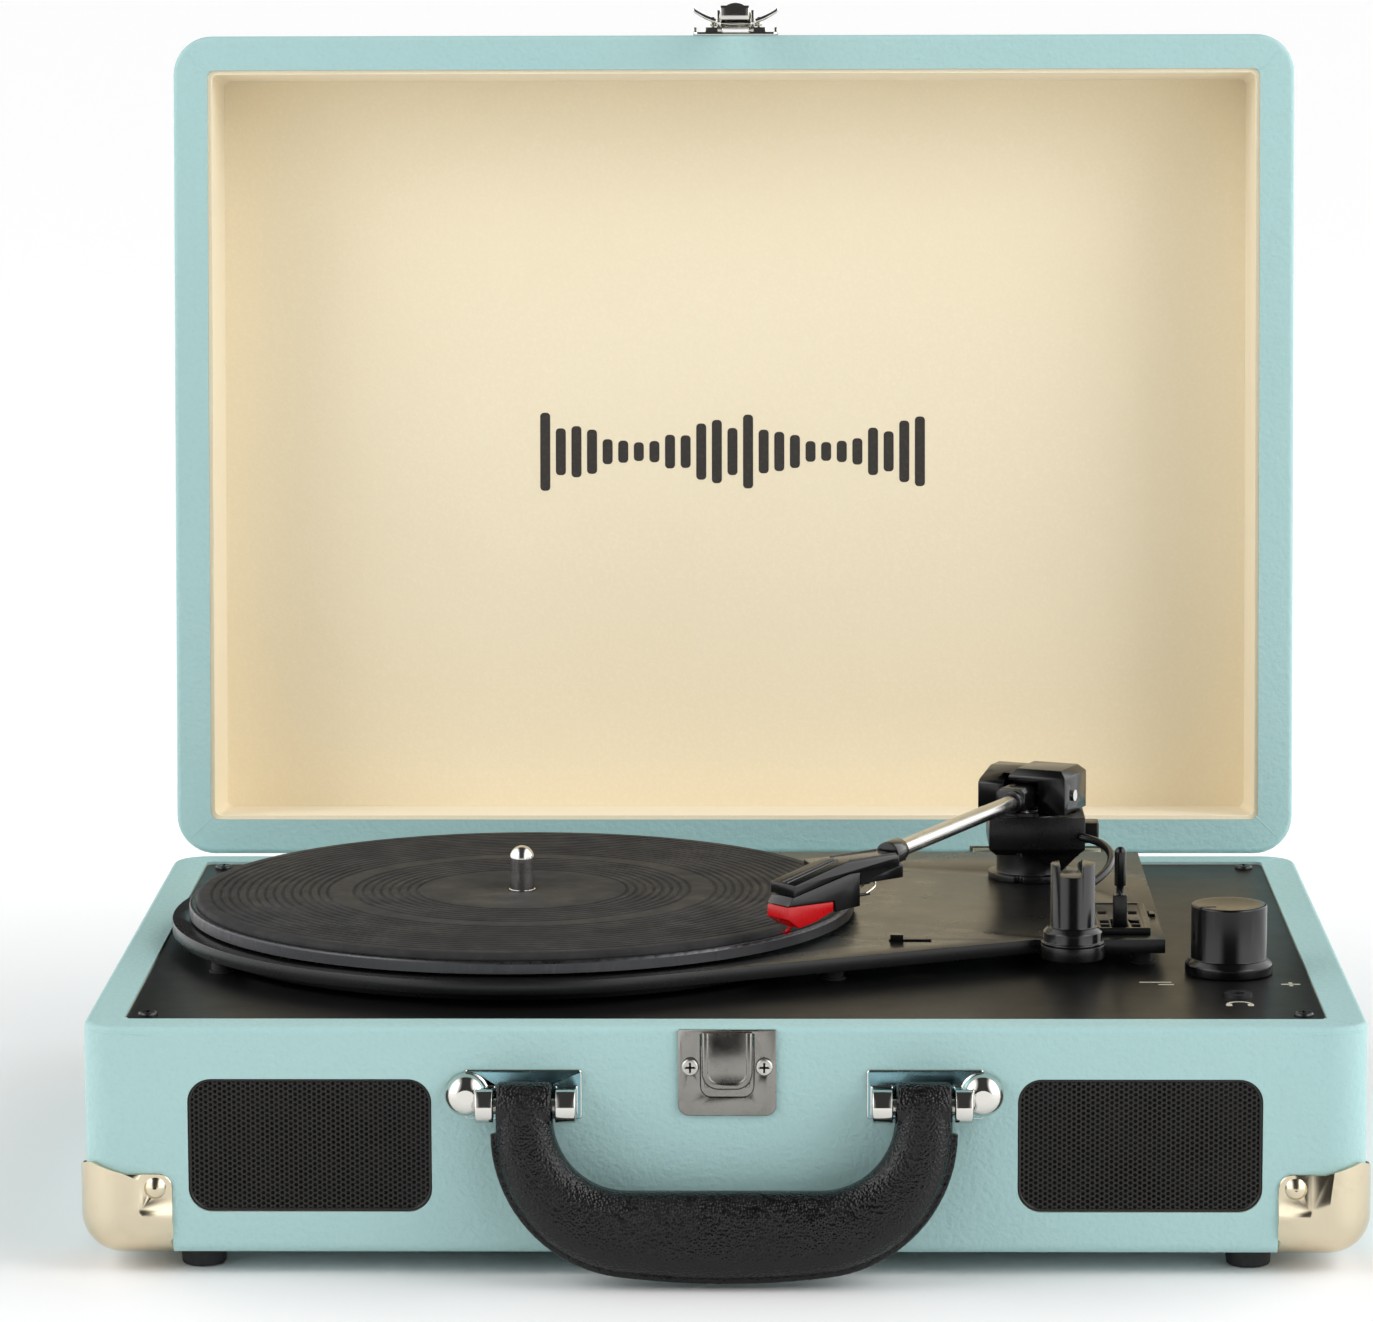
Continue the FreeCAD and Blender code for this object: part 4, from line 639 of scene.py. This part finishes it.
def add_protectors():
    """Pressed corners: bulged plates that step down to a flat seat at each rivet."""
    mesh = softened_mesh("corner_protectors", PROTECTOR_SOFT, 1)
    shape = bmesh.new()
    shape.from_mesh(mesh)
    side, back, corner, skin, skin_slack = 175.0, 128.0, 10.5, 0.7, 0.08
    reach_out, top, base_low, plate_low = 24.5, 32.0, 6.0, 5.2
    tab, tab_low, slope, rise, least = 8.3, 18.6, 0.9, 0.75, 0.35
    fade_along, fade_up = 0.5, 0.4
    inner = reach_out - tab
    cuts = []
    for sx in (-1, 1):
        for reach in (inner, inner - slope):
            cuts.append((design(sx * (side - reach), 0, 0), Vector((1, 0, 0))))
            cuts.append((design(0, sx * (back - reach), 0), Vector((0, 1, 0))))
    for height in (tab_low, tab_low - slope):
        cuts.append((design(0, 0, height), Vector((0, 0, 1))))
    for at, normal in cuts:
        geometry = shape.verts[:] + shape.edges[:] + shape.faces[:]
        bmesh.ops.bisect_plane(shape, geom=geometry, plane_co=at, plane_no=normal, dist=CUT_WITHIN)
    for vertex in shape.verts:
        x, y, z = vertex.co.x / MM, (vertex.co.y + CASE_BACK) / MM, vertex.co.z / MM
        core = Vector((max(-side + corner, min(side - corner, x)), max(-back + corner, min(back - corner, y)),
                       max(base_low + corner, z)))
        out = Vector((x, y, z)) - core
        if out.length < corner + skin - skin_slack or z > top:
            continue
        away = side - abs(x) if abs(y) > back else back - abs(y)
        flat = min(1.0, max(0.0, (inner - away) / slope) + max(0.0, (tab_low - z) / slope))
        edge = min(1.0, (reach_out - away) / fade_along, max(0.0, (z - plate_low) / fade_up))
        vertex.co += out.normalized() * rise * MM * flat * max(edge, least)
    shape.to_mesh(mesh)
    shape.free()
    mesh.shade_smooth()
    mesh.set_sharp_from_angle(angle=PROTECTOR_SHARP)
    new_piece("corner_protectors_pressed", mesh, "case", SLOT_OF["corner_protectors"],
              "corner_protectors")


# ---- folds where the covering is cut and lapped at the corners

# A strip's section, across and up, in shares of half its width and of its height.
RIDGE_SECTION = ((-1.0, -0.3), (-0.5, 0.8), (0.0, 1.0), (0.5, 0.8), (1.0, -0.3))


def ridge(build, stops, width=0.5, height=0.14):
    """A low rounded strip through stops of (point on a surface, direction out of it)."""
    rings = []
    for index, (at, outward) in enumerate(stops):
        along = stops[min(index + 1, len(stops) - 1)][0] - stops[max(index - 1, 0)][0]
        across = along.cross(outward).normalized()
        rings.append(build.ring([at + across * (a * width / 2 * MM) + outward * (b * height * MM)
                                 for a, b in RIDGE_SECTION]))
    for first, second in zip(rings, rings[1:]):
        build.bridge(first, second)
    build.cap(rings[0])
    build.cap(rings[-1])


def add_covering_folds():
    base, lid = Build(), Build()
    corner, corner_x, corner_y = 10.5, 164.5, -117.5
    fold_from, front, fold_start, fold_round = 156.0, -128.0, 66.9, 67.3
    rim_height, rim_fold = 69.2, ((163.4, 116.4), (170.4, 123.4))
    lid_folds, lid_near_x, lid_far_x, above_rim = ((12.0, 5.6), (244.4, 250.8)), 163.6, 170.2, 0.2
    up, rim = Vector((0, 0, 1)), LID_OPEN @ Vector((0, 0, -1))
    for side in (-1, 1):
        stops = [(design(side * fold_from, front, fold_start), Vector((0, -1, 0)))]
        for step in range(7):
            turn = math.radians(9.0 * step)
            out = Vector((side * math.sin(turn), -math.cos(turn), 0))
            stops.append((design(side * corner_x + corner * out.x, corner_y + corner * out.y, fold_round),
                          out))
        ridge(base, stops)
        for y in (-1, 1):
            ridge(base, [(design(side * x, y * depth, rim_height), up) for x, depth in rim_fold])
        for near, far in lid_folds:
            ridge(lid, [(Vector(LID_JOINT["pos_m"])
                         + LID_OPEN @ (Vector((side * x, -along, above_rim)) * MM), rim)
                        for x, along in ((lid_near_x, near), (lid_far_x, far))])
    new_piece("base_covering_folds", mesh_of("base_covering_folds", base.points, base.faces, True),
              "case", "leatherette")
    new_piece("lid_covering_folds", mesh_of("lid_covering_folds", lid.points, lid.faces, True),
              "lid", "leatherette")


# ---- small parts of the headshell, the catch and the handle's brackets

SHELL_ANGLE = math.radians(-49.1)
SHELL_TURN = Matrix.Rotation(SHELL_ANGLE, 3, "Z")
SHELL_AT = (16.7, -78.1)


def on_shell(x, y, z):
    """A point on the headshell: across it, back from the stylus, and up."""
    turned = SHELL_TURN @ Vector((x, y, 0.0))
    return design(SHELL_AT[0] + turned.x, SHELL_AT[1] + turned.y, z)


def tube_along(build, points, radius):
    """A round wire through a row of points."""
    around = 8
    loops = []
    for index, point in enumerate(points):
        along = (points[min(index + 1, len(points) - 1)] - points[max(index - 1, 0)]).normalized()
        side = along.cross(Vector((0, 0, 1))).normalized()
        rise = side.cross(along)
        loops.append(build.ring([point + (side * math.cos(a) + rise * math.sin(a)) * radius * MM
                                 for a in (2 * math.pi * step / around for step in range(around))]))
    for first, second in zip(loops, loops[1:]):
        build.bridge(first, second)
    build.cap(loops[0])
    build.cap(loops[-1])


# The handle seen from the front: an inner edge with tight corners and an outer one that sags.
HANDLE_AT = (-137.0, 49.3)
HANDLE_TILT = 6.0
HANDLE_HALF = 7.0
WELT_BELOW = 7.2
LOOP_STEPS, BEND_STEPS, SAG_STEPS, ROLL_STEPS = 6, 20, 12, 40
# The welt's section as (out from the edge, across), and a rolled end's as (along the pin, radius).
WELT_EDGE = ((-3.0, -2.6), (-0.6, -2.3), (0.2, -1.5), (0.9, -1.5), (1.35, -1.1), (1.5, -0.5),
             (1.5, 0.5), (1.35, 1.1), (0.9, 1.5), (0.2, 1.5), (-0.6, 2.3), (-3.0, 2.6))
ROLLED_END = ((46.6, 2.1), (46.6, 5.6), (46.9, 6.3), (47.6, 6.6), (60.3, 6.6), (61.0, 6.3),
              (61.3, 5.6), (61.3, 2.1))
PALM_X, PALM_Z, PALM_R = 26.2, 46.3, 20.0
ELBOW_X, ELBOW_Z, ELBOW_R = 23.7, 42.05, 38.0
SAG_Z, SAG_R = 235.6, 233.0
SAG_LEAN = math.atan2(ELBOW_X, SAG_Z - ELBOW_Z)


def on_handle(x, y, z):
    """A point of the upright handle, leaned back about its pins as it hangs."""
    point = Matrix.Rotation(math.radians(-HANDLE_TILT), 3, "X") @ Vector((x, y, z - HANDLE_AT[1]))
    return design(point.x, HANDLE_AT[0] + point.y, HANDLE_AT[1] + point.z)


def handle_stations():
    """Matching points of the inner and outer edges, from the right-hand loop to the left."""
    half = []
    for step in range(LOOP_STEPS):
        share = step / LOOP_STEPS
        half.append(((PALM_X + PALM_R, HANDLE_AT[1] + share * (PALM_Z - HANDLE_AT[1])),
                     (ELBOW_X + ELBOW_R, HANDLE_AT[1] + share * (ELBOW_Z - HANDLE_AT[1]))))
    for step in range(BEND_STEPS):
        inner = math.pi / 2 * (1 - step / BEND_STEPS)
        outer = math.pi / 2 + (SAG_LEAN - math.pi / 2) * step / BEND_STEPS
        half.append(((PALM_X + PALM_R * math.sin(inner), PALM_Z - PALM_R * math.cos(inner)),
                     (ELBOW_X + ELBOW_R * math.sin(outer), ELBOW_Z - ELBOW_R * math.cos(outer))))
    for step in range(SAG_STEPS):
        lean = SAG_LEAN * (1 - step / SAG_STEPS)
        half.append(((PALM_X * (1 - step / SAG_STEPS), PALM_Z - PALM_R),
                     (SAG_R * math.sin(lean), SAG_Z - SAG_R * math.cos(lean))))
    middle = [((0.0, PALM_Z - PALM_R), (0.0, SAG_Z - SAG_R))]
    return half + middle + [((-a, b), (-c, d)) for (a, b), (c, d) in reversed(half)]


def add_handle():
    """A padded loop with a welt round its outer edge and a rolled end on each pin."""
    build = Build()
    around, fullness = 44, 2.7
    body, welt = [], []
    for inner, outer in handle_stations():
        inner, outer = Vector(inner), Vector(outer)
        middle, reach = (inner + outer) / 2, (outer - inner) / 2
        ring = []
        for step in range(around):
            turn = 2 * math.pi * step / around
            out = math.copysign(abs(math.cos(turn)) ** (2 / fullness), math.cos(turn))
            deep = math.copysign(abs(math.sin(turn)) ** (2 / fullness), math.sin(turn))
            at = middle + reach * out
            ring.append(on_handle(at.x, HANDLE_HALF * deep, at.y))
        body.append(build.ring(ring))
        if outer.y < HANDLE_AT[1] - WELT_BELOW:
            away = reach.normalized()
            welt.append(build.ring([on_handle((outer + away * out).x, deep, (outer + away * out).y)
                                    for out, deep in WELT_EDGE]))
    for loops in (body, welt):
        for first, second in zip(loops, loops[1:]):
            build.bridge(first, second)
        build.cap(loops[0])
        build.cap(loops[-1])
    for side in (-1, 1):
        loops = [build.ring([on_handle(side * x, r * math.cos(a), HANDLE_AT[1] + r * math.sin(a))
                             for a in (2 * math.pi * step / ROLL_STEPS for step in range(ROLL_STEPS))])
                 for x, r in ROLLED_END]
        for first, second in zip(loops, loops[1:] + loops[:1]):
            build.bridge(first, second)
    new_piece("handle_padded", mesh_of("handle_padded", build.points, build.faces, True), "handle",
              SLOT_OF["handle_grip"], "handle_grip")


# Ribs as (out from the middle, (back, up) at each end, width, height).
SHELL_RIBS = ((0.95, (-0.6, 99.55), (18.2, 103.82), 0.7, 0.35),
              (4.1, (20.0, 103.9), (37.2, 103.9), 0.6, 0.25))
# The wires on each side as (height at the cartridge, bow).
WIRES = ((93.2, 3.4), (96.4, 1.8))
WIRE_OUT, WIRE_CLOSING, WIRE_RADIUS, WIRE_STEPS = 2.4, 0.25, 0.34, 10
WIRE_BACK, WIRE_RUN, WIRE_TOP = 27.0, 2.0, 97.6


def add_headshell_details():
    trim = Build()
    slope_up = (on_shell(0, 0, 1.0) - on_shell(0, 0, 0)).normalized()
    for out, start, end, width, height in SHELL_RIBS:
        for x in (-out, out):
            ridge(trim, [(on_shell(x, *start), slope_up), (on_shell(x, *end), slope_up)], width, height)
    new_piece("headshell_ribs", mesh_of("headshell_ribs", trim.points, trim.faces, True),
              BODY_OF["headshell"], SLOT_OF["headshell"])
    wires = Build()
    for x in (-WIRE_OUT, WIRE_OUT):
        for z, bow in WIRES:
            path = [on_shell(x * (1 - WIRE_CLOSING * share),
                             WIRE_BACK + bow * math.sin(math.pi * share) + WIRE_RUN * share,
                             z + (WIRE_TOP - z) * share)
                    for share in (step / WIRE_STEPS for step in range(WIRE_STEPS + 1))]
            tube_along(wires, path, WIRE_RADIUS)
    new_piece("cartridge_wires", mesh_of("cartridge_wires", wires.points, wires.faces, True),
              BODY_OF["headshell"], "socket_metal")


TRAY_WIDTH, TRAY_HEIGHT, TRAY_CORNER = 14.2, 16.0, 2.8
TRAY_MIDDLE, TRAY_BACK, TRAY_THICK = 13.3, 0.55, 0.4


def add_catch_backing():
    """The dark pressed tray behind the catch plate's opening."""
    low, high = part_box("strike_plate")
    middle = (low.x + high.x) / 2
    build = Build()

    def place(a, b, depth):
        return Vector((middle + a * MM, high.y - (TRAY_BACK - depth) * MM, low.z + b * MM))

    outline = rounded_outline(TRAY_WIDTH, TRAY_HEIGHT, TRAY_CORNER, 6, (0.0, TRAY_MIDDLE))
    build.plate(outline, place, 0.0, TRAY_THICK)
    new_piece("catch_backing", mesh_of("catch_backing", build.points, build.faces), "case",
              SLOT_OF["strike_plate"])


CATCH_SCREW_OUT = 10.05
CATCH_SCREW_UP = 0.05835
CROSS_LONG, CROSS_WIDE, CROSS_CORNER = 2.5, 0.55, 0.2
RECESS_AT, RECESS_THICK = 2.08, 0.07


def add_screw_recess_shade():
    """Painted shade for the cross-shaped recesses of the catch plate's two screws: flat near-black crosses stand
    in for the shade in the hollows.
    """
    low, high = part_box("strike_plate")
    middle = (low.x + high.x) / 2
    build = Build()

    def place(a, b, depth):
        return Vector((middle + a * MM, high.y - (RECESS_AT + depth) * MM, CATCH_SCREW_UP + b * MM))

    for side in (-CATCH_SCREW_OUT, CATCH_SCREW_OUT):
        for width, height in ((CROSS_LONG, CROSS_WIDE), (CROSS_WIDE, CROSS_LONG)):
            outline = rounded_outline(width, height, CROSS_CORNER, 3, (side, 0.0))
            build.plate(outline, place, 0.0, RECESS_THICK)
    new_piece("catch_screw_recess_shade", mesh_of("catch_screw_recess_shade", build.points, build.faces),
              "case", SLOT_OF["base_screws"], finish="painted_depth_shade")


def shade_bracket_faces(piece):
    """The bracket's flat plate is duller than its polished lugs and cap."""
    plate_near, plate_far, facing_front = 1.5 * MM, 0.8 * MM, -0.95
    mesh = piece.data
    back = max(vertex.co.y for vertex in mesh.vertices)
    mesh.materials.append(FINISHES["bracket_face"])
    for face in mesh.polygons:
        if face.normal.y < facing_front and back - plate_near < face.center.y < back - plate_far:
            face.material_index = 1


soft = soften_nodes()
for grille in ("speaker_grille_left", "speaker_grille_right"):
    perforated_grille(grille)
add_lid_ornament()
add_deck_marks()
add_platter_mat()
add_protectors()
add_covering_folds()
add_handle()
add_headshell_details()
add_catch_backing()
add_screw_recess_shade()
for bracket in ("handle_bracket_left", "handle_bracket_right"):
    shade_bracket_faces(soft[bracket])


# ------------------------------------------------------------------ studio

ROOM_DARK = 0.05
ROOM_LEFT = 1.75
ROOM_RIGHT = 2.15
ROOM_SIDE_FROM, ROOM_SIDE_TO = 0.26, 0.6
FLOOR_HALF, FLOOR_AT = 30.0, -0.0002
# The floor glows by itself away from the case, as an evenly lit sweep would.
GLOW_FROM, GLOW_TO, GLOW = 0.17, 0.55, 0.17
LAMP_OUT, LAMP_Y, LAMP_Z = 1.2, -0.7, 0.95
LAMP_AIM = (0.0, 0.0, 0.25)
LAMP_SIZE = (0.7, 1.0)
LEFT_WATTS, RIGHT_WATTS = 4.5, 5.5


def add_floor():
    look = Shader("studio_floor", linear(248, 248, 248), 0.6, Specular_IOR_Level=0.3,
               Emission_Color=(1.0, 1.0, 1.0, 1.0))
    away = look.node("ShaderNodeVectorMath", operation="LENGTH")
    look.link(look.place, away.inputs[0])
    lift_glow = look.node("ShaderNodeMapRange", interpolation_type="SMOOTHSTEP")
    for socket, value in (("From Min", GLOW_FROM), ("From Max", GLOW_TO), ("To Min", 0.0), ("To Max", GLOW)):
        lift_glow.inputs[socket].default_value = value
    look.link(away.outputs["Value"], lift_glow.inputs["Value"])
    look.link(lift_glow.outputs["Result"], look.bsdf.inputs["Emission Strength"])
    look.bump(look.noise(30.0), 0.0002, 0.1)
    mesh = bpy.data.meshes.new("studio_floor")
    corners = [(x * FLOOR_HALF, y * FLOOR_HALF, FLOOR_AT) for x, y in ((-1, -1), (1, -1), (1, 1), (-1, 1))]
    mesh.from_pydata(corners, [], [(0, 1, 2, 3)])
    mesh.materials.append(look.material)
    floor = bpy.data.objects.new("studio_floor", mesh)
    bpy.context.scene.collection.objects.link(floor)


def add_light(name, side, power):
    light = bpy.data.lights.new(name, "AREA")
    light.shape = "RECTANGLE"
    light.size, light.size_y = LAMP_SIZE
    light.energy = power
    lamp = bpy.data.objects.new(name, light)
    at = Vector((side * LAMP_OUT, LAMP_Y, LAMP_Z))
    lamp.location = at
    lamp.rotation_euler = (Vector(LAMP_AIM) - at).to_track_quat("-Z", "Y").to_euler()
    bpy.context.scene.collection.objects.link(lamp)


def add_world():
    """A white room that is dark along its middle, so that bright metal has something to mirror:
    soft light comes from the left and the right, and the room itself looks plain white."""
    world = bpy.data.worlds.new("studio")
    world.use_nodes = True
    nodes, links = world.node_tree.nodes, world.node_tree.links
    direction = nodes.new("ShaderNodeTexCoord")
    parts = nodes.new("ShaderNodeSeparateXYZ")
    links.new(direction.outputs["Generated"], parts.inputs["Vector"])
    glow = None
    for low, high, bright in ((-ROOM_SIDE_FROM, -ROOM_SIDE_TO, ROOM_LEFT),
                              (ROOM_SIDE_FROM, ROOM_SIDE_TO, ROOM_RIGHT)):
        side = nodes.new("ShaderNodeMapRange")
        side.interpolation_type = "SMOOTHSTEP"
        for socket, value in (("From Min", low), ("From Max", high), ("To Min", ROOM_DARK / 2),
                              ("To Max", bright)):
            side.inputs[socket].default_value = value
        links.new(parts.outputs["X"], side.inputs["Value"])
        if glow is None:
            glow = side.outputs["Result"]
        else:
            total = nodes.new("ShaderNodeMath")
            links.new(glow, total.inputs[0])
            links.new(side.outputs["Result"], total.inputs[1])
            glow = total.outputs["Value"]
    seen = nodes.new("ShaderNodeLightPath")
    mix = nodes.new("ShaderNodeMix")
    mix.data_type = "FLOAT"
    mix.inputs["B"].default_value = 1.0
    links.new(seen.outputs["Is Camera Ray"], mix.inputs["Factor"])
    links.new(glow, mix.inputs["A"])
    background = nodes["Background"]
    background.inputs["Color"].default_value = (1.0, 1.0, 1.0, 1.0)
    links.new(mix.outputs["Result"], background.inputs["Strength"])
    bpy.context.scene.world = world


add_floor()
add_world()
add_light("side_left", -1, LEFT_WATTS)
add_light("side_right", 1, RIGHT_WATTS)
bpy.context.scene.view_settings.view_transform = "Standard"
